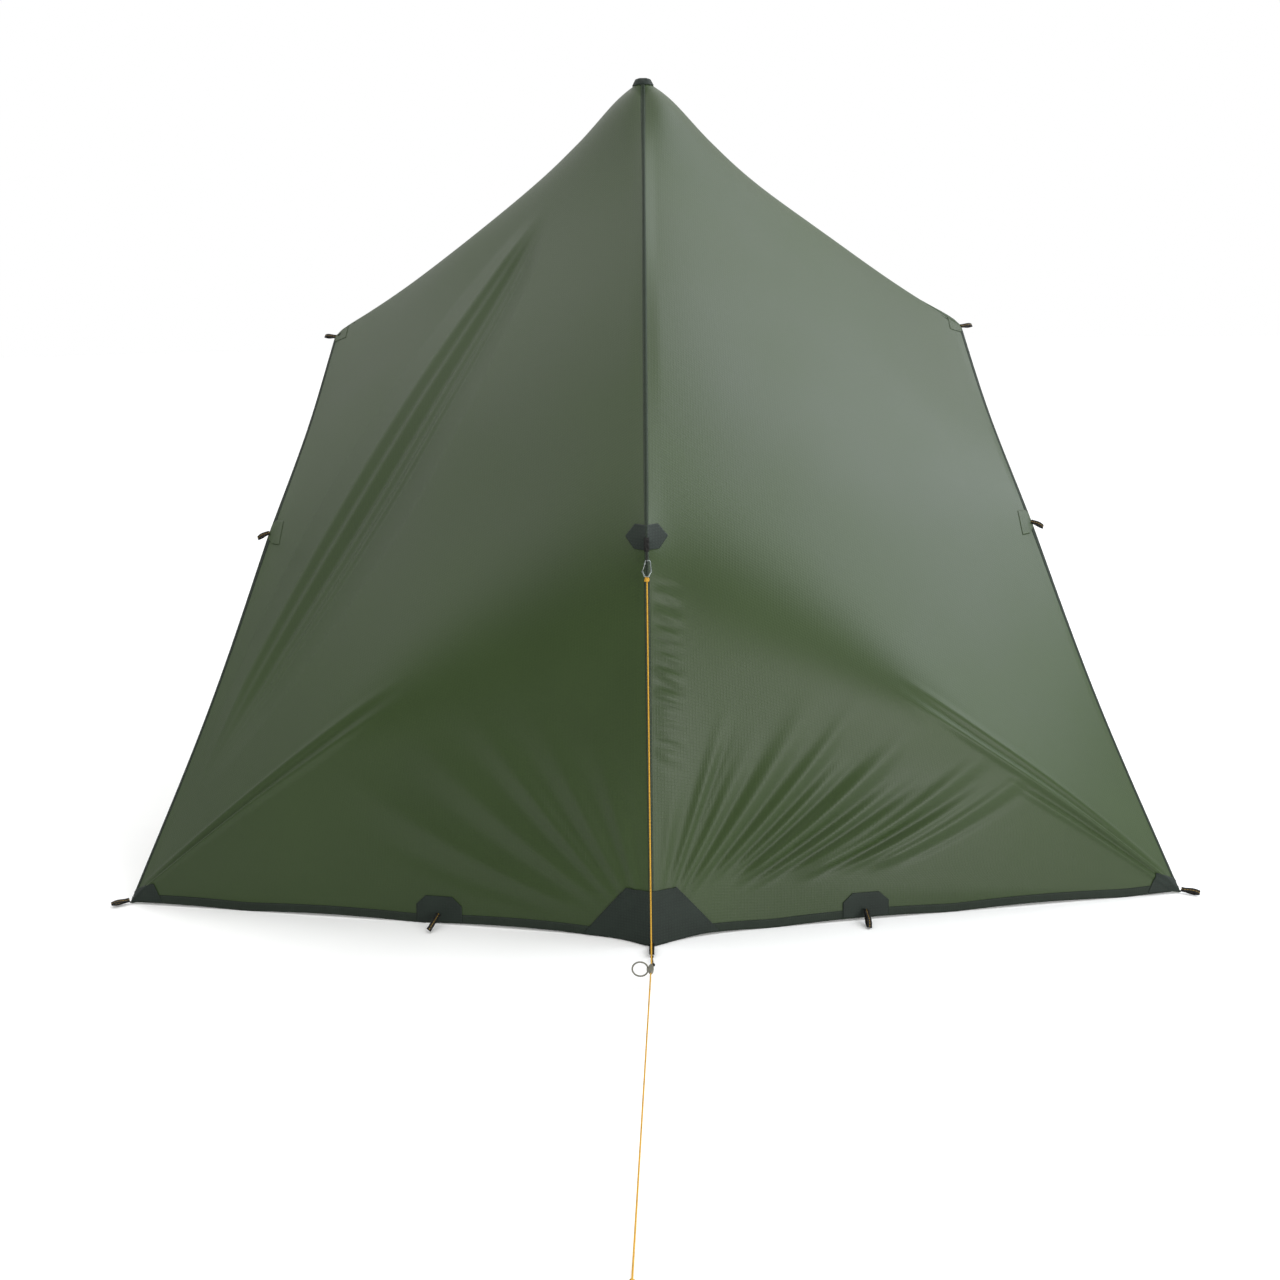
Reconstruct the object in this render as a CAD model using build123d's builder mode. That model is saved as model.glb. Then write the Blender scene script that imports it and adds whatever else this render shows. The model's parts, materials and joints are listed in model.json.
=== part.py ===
"""One-pole tarp shelter: a five-sided canopy over a telescopic pole, with a lifter and a guyline.

Frame: millimetres, +Z up, +X to the right seen from the front, the front towards -Y.
The origin is the centre of the pole foot's sole, on the ground under the peak.
"""

import os

from build123d import *

os.makedirs("parts", exist_ok=True)

# ---------------------------------------------------------------- driving dimensions
# canopy, as pitched
peak_height = 2515.0
front_half_width = 1590.0
front_corner_y = -1340.0
front_centre_y = -1650.0
front_bow_half_width = 165.0
front_bow_y = -1580.0
front_loop_x = 620.0
front_loop_y = -1495.0
lifter_y = -1350.0
lifter_height = 1105.0
side_loop_x = 1320.0
side_loop_y = -500.0
side_loop_height = 995.0
upper_corner_x = 1232.0
upper_corner_y = 300.0
upper_corner_height = 1640.0
rear_centre_y = 620.0
rear_centre_height = 2190.0
peak_flat = 29.0
peak_drop = 2.0
contour_share = 0.32
contour_sag = 92.0
rear_hem_curve = (-16.0, -60.0, 10.0)
cloth_thickness = 2.0

# bindings, tapes and patches
layer_gap = 0.4
tape_thickness = 1.0
hem_tape_width = 22.0
hem_ground_gap = 1.0
seam_tape_width = 20.0
side_hem_foot_inset = 7.0
side_hem_foot_gap = 2.0
side_hem_top_gap = 12.0
lifter_patch_radius = 62.0
rear_patch_radius = 80.6
peak_patch_radius = 42.0
centre_patch_half_width = 190.0
centre_patch_top_half_width = 70.0
centre_patch_height = 150.0
centre_patch_edge_height = 16.0
loop_patch_half_width = 52.0
loop_patch_height = 62.0
corner_patch_reach = 110.0

# webbing loops
webbing_width = 15.0
webbing_thickness = 1.6
loop_length = 52.0
loop_opening = 9.0
loop_root = 8.0
root_overlap = 2.0
loop_base_gap = 3.0

# lifter and carabiner
tab_width = 20.0
tab_length = 24.0
tab_thickness = 3.0
tab_corner_radius = 3.0
tab_eye_height = 7.0
tab_eye_clearance = 0.8
pull_start_forward = 22.0
pull_start_drop = 12.0
lifter_cord_drop = 36.0
lifter_cord_diameter = 3.0
carabiner_length = 50.0
carabiner_width = 28.0
rod_diameter = 4.0
seat_rim = 0.9
seat_inset = 0.15
gate_wire = 1.6
gate_clearance = 0.4
gate_fit = 0.05

# guyline and tensioner
guyline_diameter = 4.0
line_fit = 0.06
bend_place = (0.0, -1830.0, 52.0)
bend_radius = 14.0
ground_run_reach = 1290.0
ground_run_side = -33.0
ground_gap = 0.5
knot_radius = 5.5
knot_gap = 0.3
tensioner_length = 42.0
tensioner_width = 15.0
tensioner_depth = 8.0
pull_ring_diameter = 46.0
pull_ring_cord = 4.0
elastic_diameter = 4.0
elastic_knot_radius = 4.4

# pole
lower_tube_diameter = 28.0
lower_tube_wall = 1.45
upper_tube_wall = 1.2
tube_fit = 0.05
lower_tube_length = 1290.0
tube_overlap = 560.0
foot_diameter = 46.0
foot_height = 60.0
pole_cap_diameter = 34.0
cup_clearance = 0.6
cup_wall = 1.6
collar_wall = 7.0
collar_height = 56.0
lever_thickness = 5.0
lever_height = 26.0
pivot_diameter = 4.0
pivot_fit = 0.05


def save(part, label):
    """Name one finished piece and write it."""
    part.label = label
    export_step(part, f"parts/{label}.step")


# ---------------------------------------------------------------- canopy corner points
SEAM_POINTS = {
    "front_centre": Vector(0, front_centre_y, 0),
    "lifter": Vector(0, lifter_y, lifter_height),
    "peak_front": Vector(0, -peak_flat, peak_height - peak_drop),
    "peak": Vector(0, 0, peak_height),
    "peak_rear": Vector(0, peak_flat, peak_height - peak_drop),
    "rear_centre": Vector(0, rear_centre_y, rear_centre_height),
}
upper_corner = Vector(upper_corner_x, upper_corner_y, upper_corner_height)
side_loop = Vector(side_loop_x, side_loop_y, side_loop_height)
SIDE_POINTS = {
    "front_bow": Vector(front_bow_half_width, front_bow_y, 0),
    "front_loop": Vector(front_loop_x, front_loop_y, 0),
    "front_corner": Vector(front_half_width, front_corner_y, 0),
    "side_loop": side_loop,
    "upper_corner": upper_corner,
    "peak_side": Vector(peak_flat, 0, peak_height - peak_drop),
    # the roof's contour sags below a straight line from the peak to the upper corner
    "contour": SEAM_POINTS["peak"] * (1 - contour_share) + upper_corner * contour_share - Vector(0, 0, contour_sag),
    # middle of the roof panel: the mean of the points that pull it
    "roof_middle": (SEAM_POINTS["lifter"] + SEAM_POINTS["peak"] + side_loop + upper_corner) * 0.25,
    # the rear hem curves in towards the peak
    "rear_hem": (upper_corner + SEAM_POINTS["rear_centre"]) * 0.5 + Vector(*rear_hem_curve),
}
GROUND_POINTS = ("front_centre", "front_bow", "front_loop", "front_corner")

# right half, each triangle counter-clockwise seen from outside
FACETS = [
    ("front_centre", "front_bow", "lifter"),
    ("front_bow", "front_loop", "lifter"),
    ("front_loop", "front_corner", "lifter"),
    ("lifter", "front_corner", "side_loop"),
    ("lifter", "side_loop", "roof_middle"),
    ("lifter", "roof_middle", "peak_front"),
    ("roof_middle", "side_loop", "upper_corner"),
    ("roof_middle", "upper_corner", "contour"),
    ("roof_middle", "contour", "peak_front"),
    ("peak_front", "contour", "peak_side"),
    ("peak_front", "peak_side", "peak"),
    ("peak", "peak_side", "peak_rear"),
    ("peak_side", "contour", "peak_rear"),
    ("peak_rear", "contour", "rear_centre"),
    ("contour", "rear_hem", "rear_centre"),
    ("contour", "upper_corner", "rear_hem"),
]


def key(name, side):
    """Name of a canopy point on one side; points on the seam are shared by both sides."""
    return name if name in SEAM_POINTS else f"{name}_{side}"


points = dict(SEAM_POINTS)
for name, place in SIDE_POINTS.items():
    points[f"{name}_right"] = place
    points[f"{name}_left"] = Vector(-place.X, place.Y, place.Z)
right_facets = [tuple(key(n, "right") for n in facet) for facet in FACETS]
left_facets = [tuple(key(n, "left") for n in reversed(facet)) for facet in FACETS]

outward = {name: Vector(0, 0, 0) for name in points}
for a, b, c in right_facets + left_facets:
    facet_normal = (points[b] - points[a]).cross(points[c] - points[a])
    for name in (a, b, c):
        outward[name] = outward[name] + facet_normal
for name in points:
    if name.rsplit("_", 1)[0] in GROUND_POINTS or name in GROUND_POINTS:
        outward[name] = Vector(outward[name].X, outward[name].Y, 0)
    outward[name] = outward[name].normalized()


def triangle(a, b, c):
    """One flat three-cornered face."""
    return Face(Wire.make_polygon([a, b, c]))


def canopy_layer(facets, inner, outer):
    """A closed sheet that follows the canopy, between two distances outside its own surface."""
    low = {name: points[name] + outward[name] * inner for name in points}
    high = {name: points[name] + outward[name] * outer for name in points}
    faces = []
    edges = {}
    for a, b, c in facets:
        faces.append(triangle(high[a], high[b], high[c]))
        faces.append(triangle(low[a], low[c], low[b]))
        for start, end in ((a, b), (b, c), (c, a)):
            edges[(start, end)] = True
    for start, end in edges:
        if (end, start) not in edges:
            faces.append(triangle(high[end], high[start], low[start]))
            faces.append(triangle(high[end], low[start], low[end]))
    return Solid(Shell(faces))


# ---------------------------------------------------------------- canopy panels
with BuildPart() as left_panel:
    add(canopy_layer(left_facets, -cloth_thickness, 0))
save(left_panel.part, "left_panel")

with BuildPart() as right_panel:
    add(canopy_layer(right_facets, -cloth_thickness, 0))
save(right_panel.part, "right_panel")

tape_inner = layer_gap
tape_outer = tape_inner + tape_thickness
patch_inner = tape_outer + layer_gap
patch_outer = patch_inner + tape_thickness
tape_layer = canopy_layer(right_facets + left_facets, tape_inner, tape_outer)
patch_layer = canopy_layer(right_facets + left_facets, patch_inner, patch_outer)
right_tape_layer = canopy_layer(right_facets, tape_inner, tape_outer)

# cutting lengths: past the whole canopy, past one edge and past the pole
REACH = 6000.0
PAST_EDGE = 750.0
PAST_POLE = 120.0
front_plane = Plane(origin=(0, 0, 0), x_dir=(1, 0, 0), z_dir=(0, -1, 0))

# ---------------------------------------------------------------- seam and hem tapes
with BuildPart() as seam_tape_front:
    add(tape_layer)
    with BuildSketch(front_plane) as seam_outline:
        with Locations((0, (hem_tape_width + peak_height) / 2)):
            Rectangle(seam_tape_width, peak_height - hem_tape_width - 2 * peak_flat)
    extrude(amount=REACH, mode=Mode.INTERSECT)
save(seam_tape_front.part, "seam_tape_front")

with BuildPart() as seam_tape_rear:
    add(tape_layer)
    with BuildSketch(Plane.XY) as rear_seam_outline:
        with Locations((0, (rear_centre_y - hem_tape_width + 2 * peak_flat) / 2)):
            Rectangle(seam_tape_width, rear_centre_y - 2 * hem_tape_width - 2 * peak_flat)
    extrude(amount=REACH, mode=Mode.INTERSECT)
save(seam_tape_rear.part, "seam_tape_rear")

with BuildPart() as front_hem_right:
    add(right_tape_layer)
    with BuildSketch(front_plane) as front_hem_outline:
        with Locations((0, hem_ground_gap)):
            Rectangle(REACH, hem_tape_width - hem_ground_gap, align=(Align.CENTER, Align.MIN))
    extrude(amount=REACH, mode=Mode.INTERSECT)
save(front_hem_right.part, "front_hem_right")


def edge_band(route, width):
    """A flat band inside an edge, given the edge's points in the sketch from bottom to top."""
    inner = [(x - width, y) for x, y in route]
    bottom, top = route[0], route[-1]
    with BuildSketch(mode=Mode.PRIVATE) as band:
        with BuildLine():
            Polyline(*inner, (top[0] + PAST_EDGE, top[1]), (bottom[0] + PAST_EDGE, bottom[1]), close=True)
        make_face()
    return band.sketch


with BuildPart() as side_hem_right:
    add(right_tape_layer)
    with BuildSketch(front_plane) as side_hem_outline:
        add(edge_band([(front_half_width - side_hem_foot_inset, hem_tape_width + side_hem_foot_gap),
                       (side_loop_x, side_loop_height),
                       (upper_corner_x, upper_corner_height - side_hem_top_gap)], hem_tape_width))
    extrude(amount=REACH, both=True, mode=Mode.INTERSECT)
save(side_hem_right.part, "side_hem_right")

rear_hem_point = SIDE_POINTS["rear_hem"]
with BuildPart() as rear_hem_right:
    add(right_tape_layer)
    with BuildSketch(Plane.XY) as rear_hem_outline:
        with BuildLine():
            Polyline((0, rear_centre_y - hem_tape_width),
                     (rear_hem_point.X, rear_hem_point.Y - hem_tape_width),
                     (upper_corner_x - hem_tape_width, upper_corner_y - hem_tape_width / 2),
                     (upper_corner_x - hem_tape_width, rear_centre_y + hem_tape_width),
                     (0, rear_centre_y + hem_tape_width), close=True)
        make_face()
    extrude(amount=REACH, mode=Mode.INTERSECT)
save(rear_hem_right.part, "rear_hem_right")

for right_piece, label in ((front_hem_right, "front_hem_left"), (side_hem_right, "side_hem_left"),
                           (rear_hem_right, "rear_hem_left")):
    with BuildPart() as left_piece:
        add(mirror(right_piece.part, about=Plane.YZ))
    save(left_piece.part, label)

# ---------------------------------------------------------------- reinforcement patches
with BuildPart() as peak_patch:
    add(patch_layer)
    with BuildSketch(Plane.XY) as peak_patch_outline:
        Circle(peak_patch_radius)
    extrude(amount=REACH, mode=Mode.INTERSECT)
save(peak_patch.part, "peak_patch")

with BuildPart() as lifter_patch:
    add(patch_layer)
    with BuildSketch(front_plane) as lifter_patch_outline:
        with Locations((0, lifter_height)):
            RegularPolygon(lifter_patch_radius, 6)
    extrude(amount=REACH, mode=Mode.INTERSECT)
save(lifter_patch.part, "lifter_patch")

with BuildPart() as front_centre_patch:
    add(patch_layer)
    with BuildSketch(front_plane) as centre_patch_outline:
        with BuildLine():
            Polyline((-centre_patch_half_width, hem_ground_gap), (centre_patch_half_width, hem_ground_gap),
                     (centre_patch_half_width, centre_patch_edge_height),
                     (centre_patch_top_half_width, centre_patch_height),
                     (-centre_patch_top_half_width, centre_patch_height),
                     (-centre_patch_half_width, centre_patch_edge_height), close=True)
        make_face()
    extrude(amount=REACH, mode=Mode.INTERSECT)
save(front_centre_patch.part, "front_centre_patch")


def side_patch(label, sketch_plane, outline, both):
    """One patch on the right, cut from the patch layer by an outline, and its mirror on the left."""
    with BuildPart() as right_patch:
        add(patch_layer)
        with BuildSketch(sketch_plane):
            with BuildLine():
                Polyline(*outline, close=True)
            make_face()
        extrude(amount=REACH, both=both, mode=Mode.INTERSECT)
    save(right_patch.part, f"{label}_right")
    with BuildPart() as left_patch:
        add(mirror(right_patch.part, about=Plane.YZ))
    save(left_patch.part, f"{label}_left")


side_patch("front_loop_patch", front_plane,
           [(front_loop_x - loop_patch_half_width, hem_ground_gap),
            (front_loop_x + loop_patch_half_width, hem_ground_gap),
            (front_loop_x + loop_patch_half_width, loop_patch_height * 0.6),
            (front_loop_x + loop_patch_half_width * 0.5, loop_patch_height),
            (front_loop_x - loop_patch_half_width * 0.5, loop_patch_height),
            (front_loop_x - loop_patch_half_width, loop_patch_height * 0.6)], False)
side_patch("front_corner_patch", front_plane,
           [(front_half_width + 20, hem_ground_gap), (front_half_width + 20, corner_patch_reach),
            (front_half_width - 0.5 * corner_patch_reach, corner_patch_reach * 0.8),
            (front_half_width - corner_patch_reach, hem_ground_gap)], False)
side_patch("side_loop_patch", front_plane,
           [(side_loop_x + 30, side_loop_height - loop_patch_half_width),
            (side_loop_x + 30, side_loop_height + loop_patch_half_width),
            (side_loop_x - loop_patch_height * 0.7, side_loop_height + loop_patch_half_width * 0.5),
            (side_loop_x - loop_patch_height * 0.7, side_loop_height - loop_patch_half_width * 0.5)], True)
side_patch("upper_corner_patch", front_plane,
           [(upper_corner_x + 30, upper_corner_height - corner_patch_reach),
            (upper_corner_x + 30, upper_corner_height + corner_patch_reach),
            (upper_corner_x - corner_patch_reach, upper_corner_height + corner_patch_reach),
            (upper_corner_x - corner_patch_reach * 0.3, upper_corner_height - corner_patch_reach)], True)

with BuildPart() as rear_centre_patch:
    add(patch_layer)
    with BuildSketch(Plane.XY) as rear_patch_outline:
        with Locations((0, rear_centre_y)):
            RegularPolygon(rear_patch_radius, 6)
    extrude(amount=REACH, mode=Mode.INTERSECT)
save(rear_centre_patch.part, "rear_centre_patch")


# ---------------------------------------------------------------- webbing loops
def webbing_loop(base, pull, flat_normal):
    """A folded webbing loop: two plies sewn for a short way, then open, pulled away from its base."""
    plane = Plane(origin=base, x_dir=pull, z_dir=pull.cross(flat_normal))
    height = loop_opening + 2 * webbing_thickness
    sewn = 2 * webbing_thickness
    with BuildPart() as loop:
        with BuildSketch(plane):
            with Locations((loop_length / 2 + loop_root, 0)):
                SlotOverall(loop_length, height)
                SlotOverall(loop_length - 2 * webbing_thickness, loop_opening, mode=Mode.SUBTRACT)
            Rectangle(loop_root + root_overlap, sewn, align=(Align.MIN, Align.CENTER))
        extrude(amount=webbing_width / 2, both=True)
    return loop.part


ground_height = webbing_width / 2 + 0.5
loop_standoff = patch_outer + loop_base_gap
LOOPS = {
    "front_corner_loop": ("front_corner", Vector(0.88, -0.47, 0), Vector(0.47, 0.88, 0)),
    "front_hem_loop": ("front_loop", Vector(0, -1, 0.12), Vector(1, 0, 0)),
    "side_loop": ("side_loop", Vector(0.93, -0.2, -0.3), Vector(0.3, 0, 0.93)),
    "upper_corner_loop": ("upper_corner", Vector(0.93, 0.36, 0.05), Vector(0, 0, 1)),
}
for label, (point_name, pull, flat_normal) in LOOPS.items():
    place = SIDE_POINTS[point_name]
    start = place + pull.normalized() * loop_standoff
    if point_name in GROUND_POINTS:
        start = Vector(start.X, start.Y, ground_height)
    right_loop = webbing_loop(start, pull.normalized(), flat_normal.normalized())
    save(right_loop, f"{label}_right")
    save(mirror(right_loop, about=Plane.YZ), f"{label}_left")

rear_start = SEAM_POINTS["rear_centre"] + Vector(0, loop_standoff, -1)
save(webbing_loop(rear_start, Vector(0, 1, -0.1).normalized(), Vector(0, 0, 1)), "rear_centre_loop")
centre_start = SEAM_POINTS["front_centre"] + Vector(0, -loop_standoff - loop_base_gap, ground_height)
save(webbing_loop(centre_start, Vector(0, -1, 0), Vector(0, 0, 1)), "front_centre_loop")

# ---------------------------------------------------------------- line of pull from the lifter
line_bend = Vector(*bend_place)
line_top = Vector(0, lifter_y - pull_start_forward, lifter_height - pull_start_drop)
pull_line = (line_bend - line_top).normalized()
pull_plane = Plane(origin=line_top, x_dir=(1, 0, 0), z_dir=Vector(1, 0, 0).cross(-pull_line))

with BuildPart() as lifter_tab:
    with BuildSketch(pull_plane) as tab_outline:
        with Locations((0, -tab_length / 2)):
            RectangleRounded(tab_width, tab_length, tab_corner_radius)
        with Locations((0, -tab_length + tab_eye_height)):
            Circle(lifter_cord_diameter / 2 + tab_eye_clearance, mode=Mode.SUBTRACT)
    extrude(amount=tab_thickness / 2, both=True)
save(lifter_tab.part, "lifter_tab")

# the cord loop passes through the tab's eye and hangs to the carabiner's top
cord_top = -tab_length + tab_eye_height
cord_bottom = cord_top - lifter_cord_drop
cord_gap = tab_thickness / 2 + lifter_cord_diameter / 2 + tab_eye_clearance
side_plane = Plane(origin=line_top, x_dir=pull_plane.z_dir, z_dir=(1, 0, 0))
with BuildPart() as lifter_cord:
    with BuildLine(side_plane) as cord_path:
        FilletPolyline((cord_gap, cord_top), (cord_gap, cord_bottom), (-cord_gap, cord_bottom),
                       (-cord_gap, cord_top), radius=cord_gap * 0.8, close=True)
    with BuildSketch(Plane(origin=cord_path.line @ 0, z_dir=cord_path.line % 0)):
        Circle(lifter_cord_diameter / 2)
    sweep()
save(lifter_cord.part, "lifter_cord_loop")

# ---------------------------------------------------------------- carabiner
rod_radius = rod_diameter / 2
top_y = cord_bottom + lifter_cord_diameter / 2 + rod_radius + 0.4
bottom_y = top_y - carabiner_length + rod_diameter
spine_x = carabiner_width / 2 - rod_radius
hinge_point = (-spine_x * 0.45, top_y - 9)
nose_point = (-spine_x, bottom_y + 15)
with BuildPart() as carabiner_body:
    with BuildLine(pull_plane) as rod_path:
        FilletPolyline(hinge_point, (-spine_x * 0.25, top_y), (spine_x * 0.75, top_y),
                       (spine_x, bottom_y + 14), (spine_x * 0.35, bottom_y), (-spine_x * 0.55, bottom_y),
                       nose_point, radius=4.4)
    with BuildSketch(Plane(origin=rod_path.line @ 0, z_dir=rod_path.line % 0)) as rod_section:
        Circle(rod_radius)
    sweep()
    with BuildSketch(pull_plane) as seat_outline:
        with Locations(hinge_point, nose_point):
            Circle(rod_radius + seat_rim)
    extrude(amount=rod_radius - seat_inset, both=True)
    with BuildSketch(pull_plane) as hinge_bore:
        with Locations(hinge_point):
            Circle(gate_wire / 2 + gate_fit)
    extrude(amount=rod_radius + 1, both=True, mode=Mode.SUBTRACT)
save(carabiner_body.part, "carabiner_body")

# wire gate: a bow whose ends turn into the hinge bore, closed by a cross wire inside the nose
gate_dx = nose_point[0] - hinge_point[0]
gate_dy = nose_point[1] - hinge_point[1]
gate_span = (gate_dx ** 2 + gate_dy ** 2) ** 0.5
gate_reach = gate_span - rod_radius - seat_rim - gate_wire / 2 - gate_clearance
leg_offset = rod_radius + gate_clearance + gate_wire / 2
gate_plane = Plane(origin=pull_plane.from_local_coords((hinge_point[0], hinge_point[1], 0)),
                   x_dir=pull_plane.from_local_coords((nose_point[0], nose_point[1], 0))
                   - pull_plane.from_local_coords((hinge_point[0], hinge_point[1], 0)),
                   z_dir=pull_plane.z_dir)
bow_plane = Plane(origin=gate_plane.origin, x_dir=gate_plane.x_dir, z_dir=gate_plane.y_dir)
with BuildPart() as carabiner_gate:
    for flip in (1, -1):
        with BuildLine(bow_plane) as gate_path:
            FilletPolyline((0, flip * 0.3), (0, flip * leg_offset), (gate_reach, flip * leg_offset),
                           (gate_reach, 0), radius=1.2)
        with BuildSketch(Plane(origin=gate_path.line @ 0, z_dir=gate_path.line % 0)) as gate_section:
            Circle(gate_wire / 2)
        sweep()
save(carabiner_gate.part, "carabiner_gate")

# ---------------------------------------------------------------- guyline
def knot(centre, along, radius):
    """A tight overhand knot, as a rounded barrel about the cord."""
    side = along.cross(Vector(0, 0, 1)).normalized()
    with BuildPart() as barrel:
        with BuildSketch(Plane(origin=centre, x_dir=side, z_dir=side.cross(along))):
            with BuildLine():
                FilletPolyline((0, radius), (radius, radius), (radius, -radius), (0, -radius),
                               radius=radius * 0.6)
                Line((0, -radius), (0, radius))
            make_face()
        revolve(axis=Axis(centre, along))
    return barrel.part


knot_centre = pull_plane.from_local_coords((0, bottom_y - rod_radius - knot_radius - knot_gap, 0))
line_start = knot_centre + pull_line * knot_radius
line_end = Vector(ground_run_side, front_centre_y - ground_run_reach, guyline_diameter / 2 + ground_gap)
save(knot(knot_centre, pull_line, knot_radius), "guyline_knot")

# one taut run to the tensioner, the bend at its mouth, and one taut run to the ground in front
guyline_route = [line_start, line_bend, line_end]
with BuildPart() as guyline:
    with BuildLine() as guyline_path:
        FilletPolyline(*guyline_route, radius=bend_radius)
    with BuildSketch(Plane(origin=line_start, z_dir=guyline_path.line % 0)) as guyline_section:
        Circle(guyline_diameter / 2)
    sweep()
save(guyline.part, "guyline")
guyline_length = guyline_path.wires()[0].length
section_area = guyline_section.sketch.area
print("guyline bend radius", bend_radius, "length", round(guyline_length, 1))
print("guyline volume over section times length", round(guyline.part.volume / (section_area * guyline_length), 4))

# end loop of the guyline on the ground: a knot and an eye for a peg
ground_run = (line_end - line_bend).normalized()
end_knot_centre = line_end + ground_run * (knot_radius + 0.2)
end_knot_centre = Vector(end_knot_centre.X, end_knot_centre.Y, knot_radius + knot_gap)
flat_run = Vector(ground_run.X, ground_run.Y, 0).normalized()
save(knot(end_knot_centre, flat_run, knot_radius), "guyline_end_knot")

eye_plane = Plane(origin=end_knot_centre + flat_run * (knot_radius + 0.8) + Vector(0, 0, 2.3 - knot_radius),
                  x_dir=flat_run, z_dir=(0, 0, 1))
with BuildPart() as end_eye:
    with BuildLine(eye_plane) as eye_path:
        FilletPolyline((0, 1), (22, 16), (52, 13), (60, 0), (52, -13), (22, -16), (0, -1),
                       radius=[14, 14, 8, 14, 14])
    with BuildSketch(Plane(origin=eye_path.line @ 0, z_dir=eye_path.line % 0)) as eye_section:
        Circle(guyline_diameter / 2)
    sweep()
save(end_eye.part, "guyline_end_eye")

# ---------------------------------------------------------------- line tensioner on the lower run
tensioner_offset = bend_radius + tensioner_length / 2 + 4
tensioner_centre = line_bend + ground_run * tensioner_offset
tensioner_plane = Plane(origin=tensioner_centre, x_dir=ground_run,
                        z_dir=ground_run.cross(Vector(0, 0, 1)).cross(ground_run))
with BuildPart() as line_tensioner:
    with BuildSketch(tensioner_plane) as tensioner_outline:
        Ellipse(tensioner_length / 2, tensioner_width / 2)
        with Locations((0, -tensioner_width / 2 + 1)):
            RectangleRounded(14, 9, 3)
    extrude(amount=tensioner_depth / 2, both=True)
    fillet(line_tensioner.edges().group_by(SortBy.LENGTH)[-1], radius=1.5)
    with BuildSketch(Plane(origin=tensioner_centre, z_dir=ground_run)) as line_bore:
        Circle(guyline_diameter / 2 + line_fit)
    extrude(amount=tensioner_length, both=True, mode=Mode.SUBTRACT)
    with BuildSketch(tensioner_plane) as ring_bore:
        with Locations((0, -tensioner_width / 2 + 0.2)):
            Circle(pull_ring_cord / 2 + 0.7)
    extrude(amount=tensioner_depth, both=True, mode=Mode.SUBTRACT)
save(line_tensioner.part, "line_tensioner")

# the pull ring stands through the tensioner's side eye
ring_eye = tensioner_plane.from_local_coords((0, -tensioner_width / 2 + 0.2, 0))
ring_radius = (pull_ring_diameter - pull_ring_cord) / 2
ring_outward = tensioner_plane.y_dir * -1
with BuildPart() as pull_ring:
    with BuildSketch(Plane(origin=ring_eye, x_dir=ring_outward, z_dir=tensioner_plane.z_dir)) as ring_section:
        Circle(pull_ring_cord / 2)
    revolve(axis=Axis(ring_eye + ring_outward * ring_radius, tensioner_plane.x_dir))
save(pull_ring.part, "pull_ring")

# ---------------------------------------------------------------- elastic cord at the front centre
elastic_start = centre_start + Vector(0, -loop_length - 8 + 1.2, 0)
first_knot = elastic_start + Vector(0, -elastic_knot_radius - 1.6, 0)
mouth = line_bend + Vector(0, -2, 0)
elastic_target = mouth + Vector(5, 0, -10)
elastic_direction = (elastic_target - first_knot).normalized()
elastic_knots = {
    "elastic_knot_upper": first_knot,
    "elastic_knot_lower": elastic_target - elastic_direction * elastic_knot_radius,
}
for label, place in elastic_knots.items():
    save(knot(place, elastic_direction, elastic_knot_radius), label)
elastic_run = elastic_knots["elastic_knot_lower"] - first_knot
elastic_run_length = elastic_run.length - 2 * elastic_knot_radius
with BuildPart() as elastic_cord:
    with BuildSketch(Plane(origin=first_knot + elastic_direction * elastic_knot_radius,
                           z_dir=elastic_direction)):
        Circle(elastic_diameter / 2)
    extrude(amount=elastic_run_length)
save(elastic_cord.part, "elastic_cord")

# ---------------------------------------------------------------- pole
lower_inner_radius = lower_tube_diameter / 2 - lower_tube_wall
upper_radius = lower_inner_radius - tube_fit
cup_top = peak_height - cloth_thickness - peak_drop - 1.2
cap_top = cup_top - cup_wall - cup_clearance
cap_skirt = 44.0
upper_tube_top = cap_top - 10
upper_tube_bottom = foot_height / 2 + lower_tube_length - tube_overlap
lower_tube_bottom = 12.0
lower_tube_top = lower_tube_bottom + lower_tube_length

with BuildPart() as pole_foot:
    with BuildSketch(Plane.XZ) as foot_profile:
        with BuildLine():
            foot_radius = foot_diameter / 2
            sleeve_radius = lower_tube_diameter / 2 + 3
            Polyline((0, 0), (foot_radius - 3, 0), (foot_radius, 3), (foot_radius, 10),
                     (sleeve_radius, 24), (sleeve_radius, foot_height),
                     (lower_tube_diameter / 2, foot_height),
                     (lower_tube_diameter / 2, lower_tube_bottom), (0, lower_tube_bottom), close=True)
        make_face()
    revolve(axis=Axis.Z)
save(pole_foot.part, "pole_foot")

with BuildPart() as lower_tube:
    with BuildSketch(Plane.XY.offset(lower_tube_bottom)):
        Circle(lower_tube_diameter / 2)
        Circle(lower_inner_radius, mode=Mode.SUBTRACT)
    extrude(amount=lower_tube_length)
save(lower_tube.part, "pole_lower_tube")

foot_plug_height = 40.0
with BuildPart() as foot_plug:
    with BuildSketch(Plane.XY.offset(lower_tube_bottom)):
        Circle(lower_inner_radius)
    extrude(amount=foot_plug_height)
    chamfer(foot_plug.edges().group_by(Axis.Z)[-1], length=1.5)
save(foot_plug.part, "pole_foot_plug")

with BuildPart() as upper_tube:
    with BuildSketch(Plane.XY.offset(upper_tube_bottom)):
        Circle(upper_radius)
        Circle(upper_radius - upper_tube_wall, mode=Mode.SUBTRACT)
    extrude(amount=upper_tube_top - upper_tube_bottom)
save(upper_tube.part, "pole_upper_tube")

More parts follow.
